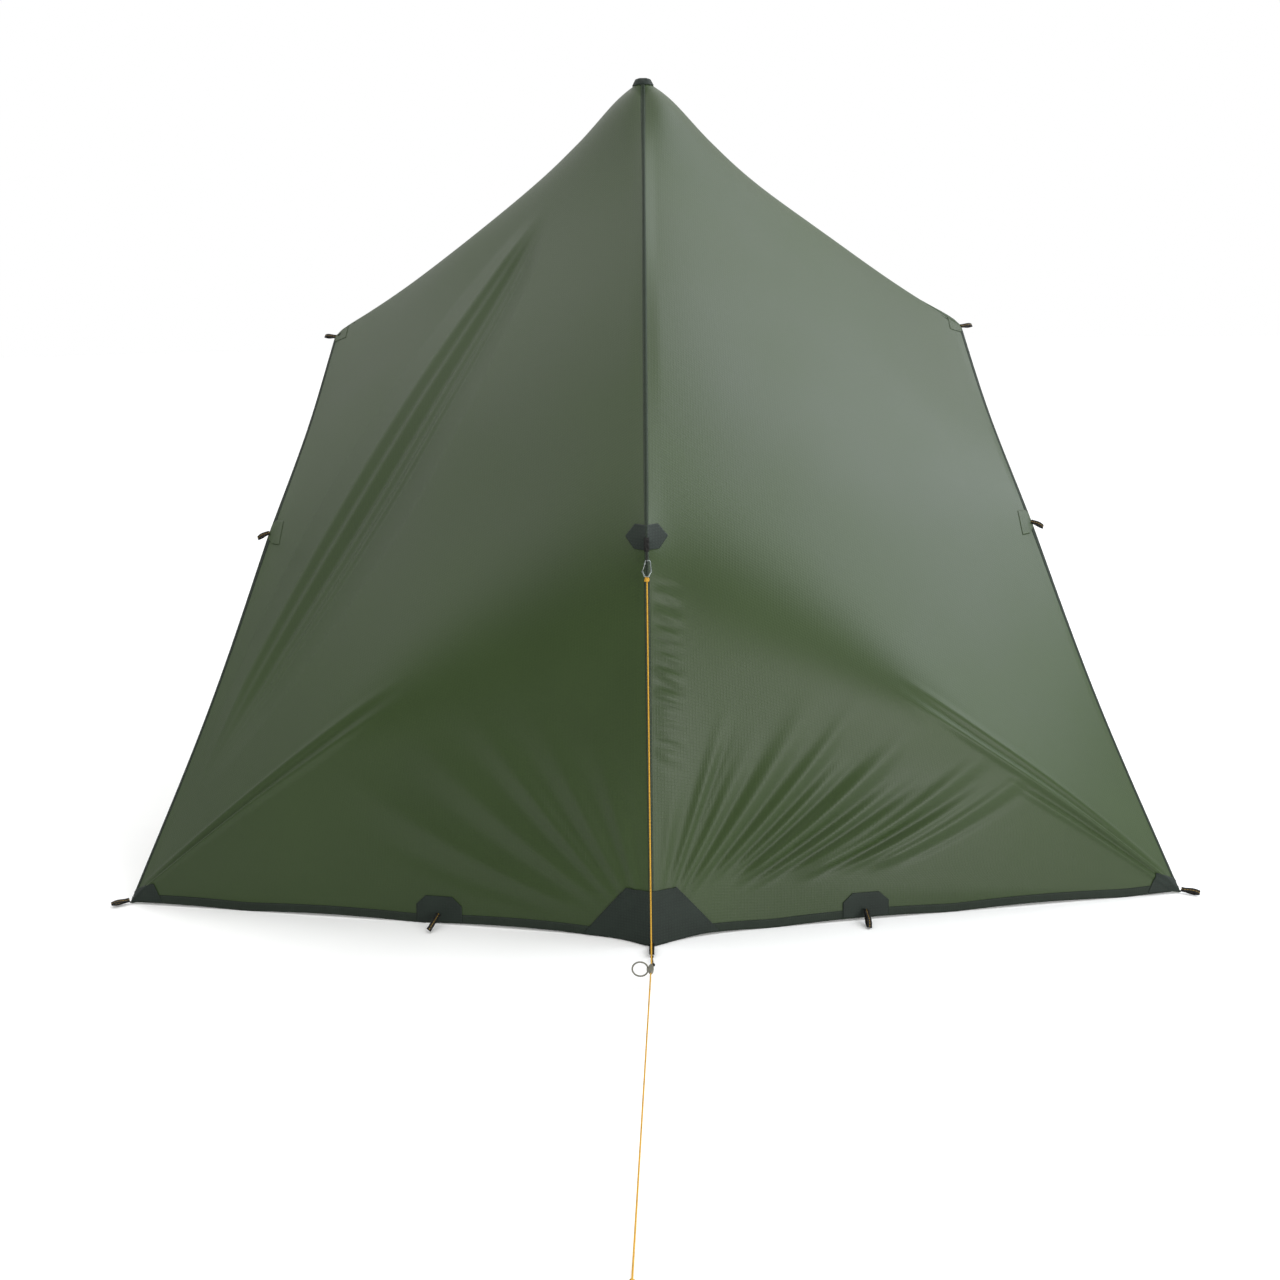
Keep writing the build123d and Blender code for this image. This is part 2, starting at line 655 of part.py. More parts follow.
with BuildPart() as guide_plug:
    with BuildSketch(Plane.XY.offset(upper_tube_bottom)):
        Circle(upper_radius - upper_tube_wall)
    extrude(amount=25)
    with BuildSketch(Plane.XY.offset(upper_tube_bottom)):
        Circle(upper_radius)
    extrude(amount=-6)
    chamfer(guide_plug.edges().group_by(Axis.Z)[0], length=1)
save(guide_plug.part, "pole_guide_plug")

with BuildPart() as pole_cap:
    with BuildSketch(Plane.XZ) as cap_profile:
        with BuildLine():
            cap_radius = pole_cap_diameter / 2
            skirt_bottom = cap_top - cap_skirt
            l1 = Polyline((0, cap_top), (cap_radius * 0.6, cap_top))
            l2 = ThreePointArc(l1 @ 1, (cap_radius * 0.92, cap_top - 4), (cap_radius, cap_top - 12))
            Polyline(l2 @ 1, (cap_radius, cap_top - 20), (upper_radius + 3, skirt_bottom + 12),
                     (upper_radius + 3, skirt_bottom), (upper_radius, skirt_bottom),
                     (upper_radius, upper_tube_top), (0, upper_tube_top), (0, cap_top))
        make_face()
    revolve(axis=Axis.Z)
save(pole_cap.part, "pole_cap")

with BuildPart() as peak_cup:
    with BuildSketch(Plane.XZ) as cup_profile:
        with BuildLine():
            cup_inner = pole_cap_diameter / 2 + cup_clearance
            Polyline((0, cup_top), (cup_inner - 2, cup_top), (cup_inner + cup_wall, cup_top - 5),
                     (cup_inner + cup_wall, cup_top - 20), (cup_inner, cup_top - 20),
                     (cup_inner, cup_top - 6), (cup_inner - 3, cup_top - cup_wall),
                     (0, cup_top - cup_wall), close=True)
        make_face()
    revolve(axis=Axis.Z)
save(peak_cup.part, "peak_cup")

# ---------------------------------------------------------------- flip-lock clamp
collar_top = lower_tube_top + 14
collar_bottom = collar_top - collar_height
collar_radius = lower_tube_diameter / 2 + collar_wall
ear_gap = 4.0
ear_reach = collar_radius + 9
ear_thickness = 5.0
ear_height = 12.0
lever_mid = collar_top - lever_height / 2 - 4
pivot_x = ear_gap / 2 + ear_thickness + 5.5
pivot_y = -collar_radius - 5.0
with BuildPart() as clamp_collar:
    with BuildSketch(Plane.XY.offset(collar_bottom)):
        Circle(collar_radius - 3)
        Circle(lower_tube_diameter / 2, mode=Mode.SUBTRACT)
    extrude(amount=lower_tube_top - collar_bottom)
    with BuildSketch(Plane.XY.offset(lower_tube_top)):
        Circle(collar_radius - 3)
        Circle(upper_radius + 2 * tube_fit, mode=Mode.SUBTRACT)
    extrude(amount=collar_top - lower_tube_top)
    with BuildSketch(Plane.XY.offset(lever_mid - lever_height / 2)):
        Circle(collar_radius)
        Circle(collar_radius - 3.5, mode=Mode.SUBTRACT)
    extrude(amount=lever_height)
    with BuildSketch(Plane.XY.offset(lever_mid - ear_height / 2)):
        with Locations((-(ear_gap + ear_thickness) / 2, -collar_radius - 2),
                       ((ear_gap + ear_thickness) / 2, -collar_radius - 2)):
            Rectangle(ear_thickness, 2 * (ear_reach - collar_radius))
    extrude(amount=ear_height)
    with BuildSketch(Plane.XY.offset(collar_bottom + 12)):
        with Locations((0, -collar_radius)):
            Rectangle(ear_gap, 2 * 13)
    extrude(amount=collar_height, mode=Mode.SUBTRACT)
    with BuildSketch(Plane.YZ) as screw_bore:
        with Locations((pivot_y, lever_mid)):
            Circle(pivot_diameter / 2)
    extrude(amount=PAST_POLE, both=True, mode=Mode.SUBTRACT)
save(clamp_collar.part, "clamp_collar")

# the cross screw pulls the ears together; its right end carries the lever's vertical pin
screw_head_x = -(ear_gap / 2 + ear_thickness + 3)
with BuildPart() as clamp_screw:
    with BuildSketch(Plane.YZ.offset(screw_head_x)):
        with Locations((pivot_y, lever_mid)):
            Circle(pivot_diameter / 2)
    extrude(amount=pivot_x - screw_head_x)
    with BuildSketch(Plane.YZ.offset(screw_head_x)):
        with Locations((pivot_y, lever_mid)):
            RegularPolygon(4, 6)
    extrude(amount=2.8)
    with BuildSketch(Plane.XY.offset(lever_mid - 4)):
        with Locations((pivot_x, pivot_y)):
            Circle(4)
    extrude(amount=8)
    with BuildSketch(Plane.XY.offset(lever_mid - lever_height)):
        with Locations((pivot_x, pivot_y)):
            Circle(pivot_diameter / 2 + pivot_fit)
    extrude(amount=2 * lever_height, mode=Mode.SUBTRACT)
save(clamp_screw.part, "clamp_screw")

with BuildPart() as clamp_pin:
    with BuildSketch(Plane.XY.offset(lever_mid - lever_height / 2 + 0.5)):
        with Locations((pivot_x, pivot_y)):
            Circle(pivot_diameter / 2)
    extrude(amount=lever_height - 1)
save(clamp_pin.part, "clamp_pin")

lever_inner = collar_radius + 1.2
lever_outer = lever_inner + lever_thickness
with BuildPart() as clamp_lever:
    with BuildSketch(Plane.XY.offset(lever_mid - lever_height / 2)) as lever_outline:
        Circle(lever_outer)
        Circle(lever_inner, mode=Mode.SUBTRACT)
        with BuildLine(mode=Mode.PRIVATE) as lever_sector:
            Polyline((0, 0), (pivot_x + 2, pivot_y * 1.6), (PAST_POLE, pivot_y), (PAST_POLE, PAST_POLE),
                     (-6, PAST_POLE), close=True)
        make_face(lever_sector.line, mode=Mode.INTERSECT)
        with Locations((pivot_x, pivot_y)):
            Circle(4.6)
            Circle(pivot_diameter / 2 + pivot_fit, mode=Mode.SUBTRACT)
    extrude(amount=lever_height)
    with BuildSketch(Plane.XY.offset(lever_mid - ear_height / 2 - 0.6)):
        with Locations((pivot_x - 1.5, pivot_y)):
            Rectangle(14, 15)
    extrude(amount=ear_height + 1.2, mode=Mode.SUBTRACT)
save(clamp_lever.part, "clamp_lever")
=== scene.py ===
"""One-pole tarp shelter with a telescopic pole, a lifter point and a front guyline.

Laid out as an add-on: the sizes and colours are properties, and each group of pieces has its own operator.
Everything is in metres, +Z up, with the front towards -Y and the pole foot at the origin.
"""

import json
import math

import bpy
import numpy as np
from mathutils import Matrix, Vector, noise
from mathutils.bvhtree import BVHTree

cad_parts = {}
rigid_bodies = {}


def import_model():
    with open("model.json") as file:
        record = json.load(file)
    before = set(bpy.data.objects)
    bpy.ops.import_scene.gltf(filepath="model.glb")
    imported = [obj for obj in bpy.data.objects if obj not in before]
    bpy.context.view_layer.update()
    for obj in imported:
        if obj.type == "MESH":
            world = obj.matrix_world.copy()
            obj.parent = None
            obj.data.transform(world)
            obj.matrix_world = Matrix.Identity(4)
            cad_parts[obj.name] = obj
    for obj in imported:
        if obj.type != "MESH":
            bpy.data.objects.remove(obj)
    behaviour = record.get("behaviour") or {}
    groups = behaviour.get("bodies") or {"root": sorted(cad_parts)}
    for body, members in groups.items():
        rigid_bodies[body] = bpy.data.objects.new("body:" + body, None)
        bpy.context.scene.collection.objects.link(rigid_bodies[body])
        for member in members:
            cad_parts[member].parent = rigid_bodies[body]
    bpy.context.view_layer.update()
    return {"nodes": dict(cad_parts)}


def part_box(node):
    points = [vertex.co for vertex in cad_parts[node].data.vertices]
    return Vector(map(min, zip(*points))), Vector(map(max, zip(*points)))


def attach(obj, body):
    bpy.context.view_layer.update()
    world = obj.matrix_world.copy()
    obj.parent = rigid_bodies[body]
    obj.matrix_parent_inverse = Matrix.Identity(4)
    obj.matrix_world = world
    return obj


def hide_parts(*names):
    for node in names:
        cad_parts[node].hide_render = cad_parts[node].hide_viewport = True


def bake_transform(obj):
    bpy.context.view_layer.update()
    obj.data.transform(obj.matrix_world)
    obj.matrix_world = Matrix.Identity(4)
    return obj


bl_info = {
    "name": "One-pole tarp shelter",
    "version": (1, 0, 0),
    "blender": (4, 5, 0),
    "location": "View3D > Sidebar > Tarp shelter",
    "description": "Builds a coated nylon tarp, its tapes, loops, cords and pole around the packed frame",
    "category": "Add Mesh",
}

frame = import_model()
NODES = frame["nodes"]

# ---------------------------------------------------------------- places on the pitched canopy
FRONT_CENTRE = np.array((0.0, -1.650, 0.0))
FRONT_BOW = np.array((0.165, -1.580, 0.0))
FRONT_LOOP = np.array((0.620, -1.495, 0.0))
FRONT_CORNER = np.array((1.590, -1.340, 0.0))
SIDE_LOOP = np.array((1.320, -0.500, 0.995))
UPPER_CORNER = np.array((1.232, 0.300, 1.640))
LIFTER = np.array((0.0, -1.350, 1.105))
PEAK = np.array((0.0, 0.0, 2.515))
REAR_CENTRE = np.array((0.0, 0.620, 2.190))

# line of pull from the lifter down to the tensioner, then forward along the ground
LINE_TOP = Vector((0.0, -1.372, 1.093))
LINE_BEND = Vector((0.0, -1.830, 0.052))
LINE_END = Vector((-0.033, -2.940, 0.0025))
PULL = (LINE_BEND - LINE_TOP).normalized()
GROUND_RUN = (LINE_END - LINE_BEND).normalized()
LINE_START = LINE_TOP + PULL * 0.1084

# the cup under the peak, the height at which it holds the cloth, and how far the cloth stays above the ground
CUP_RADIUS = 0.0255
PEAK_HEIGHT = 2.5138
CLOTH_LOWEST = 0.0022

# grid of one canopy panel: columns from the seam to the side, rows from the front hem to the rear hem
COLUMNS = 200
WALL_ROWS = 78
ROOF_ROWS = 126
REAR_ROWS = 36
ROWS = WALL_ROWS + ROOF_ROWS + REAR_ROWS
CREASE_ROW = WALL_ROWS
CONTOUR_ROW = WALL_ROWS + ROOF_ROWS

# what has been made so far, for the steps that come later
SHEETS = {}

# A wave texture's straight bands repeat every 2 pi / (20 x scale) metres, and its diagonal ones every
# 2 pi / (10 x scale) measured along one side. Real threads are too fine to show, so these are drawn coarser.
GRID_SCALE = 100 / 6.283 * 2
RIB_SCALE = 666 / 6.283 / 2
WEAVE_SCALE = 500 / 6.283 / 2

# folds of the wall: millimetres to metres, the scale of all depths, and how deep a hollow is beside a ridge
MM = 0.001
FAN_SCALE = 1.25
HOLLOW_SHARE = 0.62


# ---------------------------------------------------------------- sizes and colours
class ShelterCloth(bpy.types.PropertyGroup):
    """What a user would change on the canopy."""

    cloth: bpy.props.FloatProperty(name="Cloth thickness", description="Thickness of the coated cloth",
                                   default=0.0008, unit="LENGTH")
    tape_width: bpy.props.FloatProperty(name="Tape width", description="Width of the binding on the edges",
                                        default=0.021, unit="LENGTH")
    seam_width: bpy.props.FloatProperty(name="Seam width", description="Width of the centre seam's tape",
                                        default=0.015, unit="LENGTH")
    webbing_width: bpy.props.FloatProperty(name="Webbing width", description="Width of the peg and guy loops",
                                           default=0.014, unit="LENGTH")
    fold_depth: bpy.props.FloatProperty(name="Fold depth", default=1.0, min=0.0, max=2.0,
                                        description="Scale of the folds pulled into the cloth")


class ShelterColours(bpy.types.PropertyGroup):
    """Colours of the shelter, as sRGB hex values."""

    canopy: bpy.props.StringProperty(name="Canopy", description="Forest green cloth", default="#2b3c18")
    binding: bpy.props.StringProperty(name="Binding", description="Grey-green tape", default="#222b22")
    # the patches' dark tone is partly the pack cloth's own colour and partly painted shade, darkened for the shade
    # below the lifter's crease
    patch: bpy.props.StringProperty(name="Patches", description="Dark pack cloth", default="#18211b")
    webbing: bpy.props.StringProperty(name="Webbing", description="Black webbing", default="#0c0c09")
    tracer: bpy.props.StringProperty(name="Tracer", default="#8f6f1f",
                                     description="Yellow thread in the webbing")
    guyline: bpy.props.StringProperty(name="Guyline", description="Amber cord", default="#c29530")
    hardware: bpy.props.StringProperty(name="Tensioner", default="#6d6b60",
                                       description="Taupe nylon and ring cord")


# ---------------------------------------------------------------- small helpers
def linear(hex_value, alpha=1.0):
    """An sRGB hex value as linear colour."""
    parts = [int(hex_value[i:i + 2], 16) / 255 for i in (1, 3, 5)]
    return [c / 12.92 if c <= 0.04045 else ((c + 0.055) / 1.055) ** 2.4 for c in parts] + [alpha]


def shade(hex_value, factor):
    """The same colour, lighter or darker."""
    r, g, b, a = linear(hex_value)
    return [min(1.0, r * factor), min(1.0, g * factor), min(1.0, b * factor), a]


def add_node(tree, kind, inputs=None, **settings):
    """Add one shader node: sockets given as inputs are linked, other values are set."""
    made = tree.nodes.new(kind)
    for name, value in settings.items():
        setattr(made, name, value)
    for name, value in (inputs or {}).items():
        if isinstance(value, bpy.types.NodeSocket):
            tree.links.new(value, made.inputs[name])
        else:
            made.inputs[name].default_value = value
    return made


def new_material(name):
    """An empty material: its tree, its shader and its coordinates."""
    made = bpy.data.materials.new(name)
    made.use_nodes = True
    tree = made.node_tree
    return made, tree, tree.nodes["Principled BSDF"], tree.nodes.new("ShaderNodeTexCoord").outputs


def ramp(tree, factor, stops):
    """A colour ramp with its stops as (position, linear colour)."""
    made = add_node(tree, "ShaderNodeValToRGB", {"Fac": factor})
    elements = made.color_ramp.elements
    while len(elements) < len(stops):
        elements.new(0.5)
    for element, (position, colour) in zip(elements, stops):
        element.position = position
        element.color = colour
    return made.outputs["Color"]


def bump(tree, shader, height, strength, distance):
    """Connect a height to the shader's normal."""
    made = add_node(tree, "ShaderNodeBump", {"Height": height, "Strength": strength, "Distance": distance})
    tree.links.new(made.outputs["Normal"], shader.inputs["Normal"])


def deselect():
    """Nothing selected and nothing active, so an operator acts only on what is added next."""
    for other in bpy.data.objects:
        other.select_set(False)
    bpy.context.view_layer.objects.active = None


def activate(piece):
    """Make a piece the only selected object."""
    deselect()
    piece.select_set(True)
    bpy.context.view_layer.objects.active = piece


def apply_modifier(piece, kind, **settings):
    """Add one modifier with its settings and apply it."""
    activate(piece)
    made = piece.modifiers.new(kind.title(), kind)
    for name, value in settings.items():
        setattr(made, name, value)
    bpy.ops.object.modifier_apply(modifier=made.name)


def place(piece):
    """Move a piece's place into its mesh."""
    activate(piece)
    bpy.ops.object.transform_apply(location=True, rotation=True, scale=True)


def mesh_piece(name, points, faces, uv=None):
    """A mesh object from points and faces, with UVs in metres for each point when they are given."""
    mesh = bpy.data.meshes.new(name)
    mesh.from_pydata([tuple(p) for p in points], [], [tuple(int(i) for i in f) for f in faces])
    if uv is not None:
        layer = mesh.uv_layers.new(name="UVMap")
        loops = np.zeros(len(mesh.loops), dtype=np.int32)
        mesh.loops.foreach_get("vertex_index", loops)
        layer.data.foreach_set("uv", np.asarray(uv, dtype=np.float32)[loops].ravel())
    mesh.validate()
    mesh.shade_smooth()
    piece = bpy.data.objects.new(name, mesh)
    bpy.context.scene.collection.objects.link(piece)
    return piece


def finish_piece(piece, body, material, replaced=()):
    """Give a piece its material, hide the CAD nodes it stands for, and attach it to its body or bake its place."""
    piece.data.materials.clear()
    piece.data.materials.append(material)
    if replaced:
        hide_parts(*replaced)
    if body == "canopy":
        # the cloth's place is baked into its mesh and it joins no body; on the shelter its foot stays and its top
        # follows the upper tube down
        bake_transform(piece)
    elif body == "elastic":
        # one end is tied to the front loop and the other to the tensioner
        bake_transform(piece)
    else:
        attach(piece, body)
    return piece


# ---------------------------------------------------------------- materials
def coated_nylon():
    """Silicone-coated ripstop nylon: a thin woven cloth with a closed, slightly greasy surface.
    It has a broad soft gloss, a paler bloom at low angles and a grid of thicker yarns."""
    colours = bpy.context.scene.shelter_colours
    made, tree, shader, coords = new_material("silicone_coated_ripstop_nylon")
    drift = add_node(tree, "ShaderNodeTexNoise",
                     {"Vector": coords["Object"], "Scale": 1.1, "Detail": 3.0, "Roughness": 0.55})
    colour = ramp(tree, drift.outputs["Fac"], [(0.30, shade(colours.canopy, 0.86)),
                                               (0.55, linear(colours.canopy)),
                                               (0.78, shade(colours.canopy, 1.16))])
    # thicker yarns stand every 5 mm and are drawn every 9.9 mm so that they show up close
    grid = []
    for turn in (0.0, math.pi / 2):
        mapping = add_node(tree, "ShaderNodeMapping", {"Vector": coords["UV"], "Rotation": (0, 0, turn)})
        line = add_node(tree, "ShaderNodeTexWave", {"Vector": mapping.outputs["Vector"], "Scale": GRID_SCALE},
                        wave_type="BANDS", bands_direction="X", wave_profile="SIN")
        grid.append(add_node(tree, "ShaderNodeMath", {0: line.outputs["Fac"], 1: 14.0}, operation="POWER"))
    yarns = add_node(tree, "ShaderNodeMath", {0: grid[0].outputs[0], 1: grid[1].outputs[0]},
                     operation="MAXIMUM")
    crinkle = add_node(tree, "ShaderNodeTexNoise",
                       {"Vector": coords["Object"], "Scale": 38.0, "Detail": 4.0, "Roughness": 0.6})
    fine = add_node(tree, "ShaderNodeMath", {0: crinkle.outputs["Fac"], 1: 1.6}, operation="MULTIPLY")
    height = add_node(tree, "ShaderNodeMath", {0: yarns.outputs[0], 1: fine.outputs[0]}, operation="ADD")
    lighter = add_node(tree, "ShaderNodeMix", {"Factor": yarns.outputs[0], 6: colour,
                                               7: shade(colours.canopy, 1.35)}, data_type="RGBA")
    weave = add_node(tree, "ShaderNodeMix", {"Factor": 0.15, 6: colour, 7: lighter.outputs[2]},
                     data_type="RGBA")
    tree.links.new(weave.outputs[2], shader.inputs["Base Color"])
    rough = add_node(tree, "ShaderNodeMapRange", {"Value": drift.outputs["Fac"], "From Min": 0.3,
                                                  "From Max": 0.7,
                                                  "To Min": 0.36, "To Max": 0.46})
    tree.links.new(rough.outputs["Result"], shader.inputs["Roughness"])
    shader.inputs["IOR"].default_value = 1.5
    shader.inputs["Specular IOR Level"].default_value = 0.34
    shader.inputs["Sheen Weight"].default_value = 0.03
    shader.inputs["Sheen Roughness"].default_value = 0.5
    shader.inputs["Sheen Tint"].default_value = linear("#b9c8bd")
    bump(tree, shader, height.outputs[0], 0.16, 0.0012)
    return made


def woven_tape(name, hex_value, stitch_hex, width, rows=(0.1, 0.9), roughness=0.62):
    """Woven polyester binding: close ribs across its length and a lockstitch near each edge.
    The ribs give a dull, slightly striped surface and the stitches sit in small dimples."""
    made, tree, shader, coords = new_material(name)
    parts = add_node(tree, "ShaderNodeSeparateXYZ", {"Vector": coords["UV"]})
    # ribs stand every 0.6 mm and are drawn every 5.9 mm
    ribs = add_node(tree, "ShaderNodeTexWave", {"Vector": coords["UV"], "Scale": RIB_SCALE},
                    wave_type="BANDS", bands_direction="Y", wave_profile="SIN")
    rows_mask = None
    for row in rows:
        off = add_node(tree, "ShaderNodeMath", {0: parts.outputs["X"], 1: row * width}, operation="SUBTRACT")
        far = add_node(tree, "ShaderNodeMath", {0: off.outputs[0]}, operation="ABSOLUTE")
        near = add_node(tree, "ShaderNodeMath", {0: far.outputs[0], 1: 0.0007}, operation="LESS_THAN")
        rows_mask = near if rows_mask is None else add_node(
            tree, "ShaderNodeMath", {0: rows_mask.outputs[0], 1: near.outputs[0]}, operation="MAXIMUM")
    # one stitch every 4 mm, with a short gap
    step = add_node(tree, "ShaderNodeMath", {0: parts.outputs["Y"], 1: 250.0}, operation="MULTIPLY")
    fraction = add_node(tree, "ShaderNodeMath", {0: step.outputs[0]}, operation="FRACT")
    dash = add_node(tree, "ShaderNodeMath", {0: fraction.outputs[0], 1: 0.72}, operation="LESS_THAN")
    stitch = add_node(tree, "ShaderNodeMath", {0: rows_mask.outputs[0], 1: dash.outputs[0]},
                      operation="MULTIPLY")
    drift = add_node(tree, "ShaderNodeTexNoise", {"Vector": coords["Object"], "Scale": 30.0, "Detail": 4.0})
    cloth = ramp(tree, drift.outputs["Fac"], [(0.3, shade(hex_value, 0.82)), (0.7, shade(hex_value, 1.2))])
    ribbed = add_node(tree, "ShaderNodeMix", {"Factor": ribs.outputs["Fac"], 6: cloth,
                                              7: shade(hex_value, 0.8)},
                      data_type="RGBA")
    colour = add_node(tree, "ShaderNodeMix", {"Factor": stitch.outputs[0], 6: ribbed.outputs[2],
                                              7: linear(stitch_hex)}, data_type="RGBA")
    tree.links.new(colour.outputs[2], shader.inputs["Base Color"])
    raised = add_node(tree, "ShaderNodeMath", {0: ribs.outputs["Fac"], 1: stitch.outputs[0]}, operation="ADD")
    shader.inputs["Roughness"].default_value = roughness
    shader.inputs["Specular IOR Level"].default_value = 0.2
    bump(tree, shader, raised.outputs[0], 0.5, 0.0004)
    return made


def pack_cloth(name, hex_value):
    """Coated polyamide pack cloth: a plain weave of heavy yarns with a dull face."""
    made, tree, shader, coords = new_material(name)
    # yarns stand every 0.5 mm and are drawn every 7.9 mm
    weave = []
    for direction in ("X", "Z"):
        weave.append(add_node(tree, "ShaderNodeTexWave", {"Vector": coords["Object"], "Scale": WEAVE_SCALE},
                              wave_type="BANDS", bands_direction=direction, wave_profile="SIN"))
    checks = add_node(tree, "ShaderNodeMath", {0: weave[0].outputs["Fac"], 1: weave[1].outputs["Fac"]},
                      operation="MULTIPLY")
    drift = add_node(tree, "ShaderNodeTexNoise", {"Vector": coords["Object"], "Scale": 18.0, "Detail": 5.0})
    base = ramp(tree, drift.outputs["Fac"], [(0.3, shade(hex_value, 0.8)), (0.7, shade(hex_value, 1.25))])
    colour = add_node(tree, "ShaderNodeMix", {"Factor": checks.outputs[0], 6: base, 7: shade(hex_value, 1.4)},
                      data_type="RGBA")
    tree.links.new(colour.outputs[2], shader.inputs["Base Color"])
    shader.inputs["Roughness"].default_value = 0.58
    shader.inputs["Specular IOR Level"].default_value = 0.25
    bump(tree, shader, checks.outputs[0], 0.4, 0.0005)
    return made


def nylon_webbing(name, tracer_width):
    """Nylon webbing: black herringbone ribs, with one yellow tracer thread down the middle on the loops."""
    colours = bpy.context.scene.shelter_colours
    width = bpy.context.scene.shelter_cloth.webbing_width
    made, tree, shader, coords = new_material(name)
    parts = add_node(tree, "ShaderNodeSeparateXYZ", {"Vector": coords["UV"]})
    # slanted ribs, drawn 11 mm apart
    ribs = add_node(tree, "ShaderNodeTexWave", {"Vector": coords["UV"], "Scale": WEAVE_SCALE,
                                                "Distortion": 0.6}, wave_type="BANDS",
                                                bands_direction="DIAGONAL")
    off = add_node(tree, "ShaderNodeMath", {0: parts.outputs["X"], 1: width / 2}, operation="SUBTRACT")
    far = add_node(tree, "ShaderNodeMath", {0: off.outputs[0]}, operation="ABSOLUTE")
    near = add_node(tree, "ShaderNodeMath", {0: far.outputs[0], 1: tracer_width / 2}, operation="LESS_THAN")
    # the tracer surfaces for 5 mm in every 8 mm
    step = add_node(tree, "ShaderNodeMath", {0: parts.outputs["Y"], 1: 125.0}, operation="MULTIPLY")
    fraction = add_node(tree, "ShaderNodeMath", {0: step.outputs[0]}, operation="FRACT")
    shown = add_node(tree, "ShaderNodeMath", {0: fraction.outputs[0], 1: 0.62}, operation="LESS_THAN")
    thread = add_node(tree, "ShaderNodeMath", {0: near.outputs[0], 1: shown.outputs[0]}, operation="MULTIPLY")
    base = ramp(tree, ribs.outputs["Fac"], [(0.2, shade(colours.webbing, 0.7)),
                                            (0.9, shade(colours.webbing, 1.7))])
    colour = add_node(tree, "ShaderNodeMix", {"Factor": thread.outputs[0], 6: base,
                                              7: linear(colours.tracer)},
                      data_type="RGBA")
    tree.links.new(colour.outputs[2], shader.inputs["Base Color"])
    shader.inputs["Roughness"].default_value = 0.6
    shader.inputs["Specular IOR Level"].default_value = 0.25
    bump(tree, shader, ribs.outputs["Fac"], 0.5, 0.0004)
    return made


def braided_cord(name, hex_value, strand_gap_shade_hex, pick=0.0035):
    """Braided polyamide cord: a sheath of crossing strands with a dull sheen, with painted shade in the gaps
    between them and a painted highlight on their crowns.
    """
    made, tree, shader, coords = new_material(name)
    strands = add_node(tree, "ShaderNodeTexVoronoi", {"Vector": coords["Object"], "Scale": 1 / pick,
                                                      "Randomness": 0.45}, feature="F1")
    # painted highlight on the strands' raised crowns, the cord's own colour between, and painted shade where the
    # strands meet
    colour = ramp(tree, strands.outputs["Distance"], [(0.15, shade(hex_value, 1.12)),
                                                      (0.55, linear(hex_value)),
                                                      (0.85, linear(strand_gap_shade_hex))])
    tree.links.new(colour, shader.inputs["Base Color"])
    shader.inputs["Roughness"].default_value = 0.6
    shader.inputs["Specular IOR Level"].default_value = 0.25
    lifted = add_node(tree, "ShaderNodeMath", {0: 1.0, 1: strands.outputs["Distance"]}, operation="SUBTRACT")
    bump(tree, shader, lifted.outputs[0], 0.6, 0.0006)
    return made


def brushed_metal(name, hex_value, roughness, stretch, metallic=1.0, scale=240.0, coat=0.0):
    """Drawn, brushed or anodised metal: fine lines along one direction blur its reflections that way."""
    made, tree, shader, coords = new_material(name)
    mapping = add_node(tree, "ShaderNodeMapping", {"Vector": coords["Object"], "Scale": stretch})
    grain = add_node(tree, "ShaderNodeTexNoise", {"Vector": mapping.outputs["Vector"], "Scale": scale,
                                                  "Detail": 4.0})
    scuff = add_node(tree, "ShaderNodeTexNoise", {"Vector": coords["Object"], "Scale": 14.0, "Detail": 6.0,
                                                  "Roughness": 0.7})
    colour = ramp(tree, scuff.outputs["Fac"], [(0.3, shade(hex_value, 0.86)), (0.6, linear(hex_value)),
                                               (0.8, shade(hex_value, 1.12))])
    tree.links.new(colour, shader.inputs["Base Color"])
    blur = add_node(tree, "ShaderNodeMapRange", {"Value": grain.outputs["Fac"], "From Min": 0.3,
                                                 "From Max": 0.7,
                                                 "To Min": roughness * 0.75, "To Max": roughness * 1.3})
    tree.links.new(blur.outputs["Result"], shader.inputs["Roughness"])
    shader.inputs["Metallic"].default_value = metallic
    shader.inputs["Coat Weight"].default_value = coat
    bump(tree, shader, grain.outputs["Fac"], 0.12, 0.0002)
    return made


def moulded_polymer(name, hex_value, roughness, grit):
    """Moulded nylon or rubber: one colour through the part, a fine spark-eroded texture, rubbed edges."""
    made, tree, shader, coords = new_material(name)
    texture = add_node(tree, "ShaderNodeTexNoise", {"Vector": coords["Object"], "Scale": 1 / grit,
                                                    "Detail": 3.0})
    wear = add_node(tree, "ShaderNodeTexNoise", {"Vector": coords["Object"], "Scale": 22.0, "Detail": 5.0})
    colour = ramp(tree, wear.outputs["Fac"], [(0.35, shade(hex_value, 0.85)), (0.6, linear(hex_value)),
                                              (0.85, shade(hex_value, 1.35))])
    tree.links.new(colour, shader.inputs["Base Color"])
    blur = add_node(tree, "ShaderNodeMapRange", {"Value": wear.outputs["Fac"], "To Min": roughness * 0.85,
                                                 "To Max": roughness * 1.15})
    tree.links.new(blur.outputs["Result"], shader.inputs["Roughness"])
    shader.inputs["IOR"].default_value = 1.53
    bump(tree, shader, texture.outputs["Fac"], 0.3, 0.0003)
    return made


MATERIALS = {}


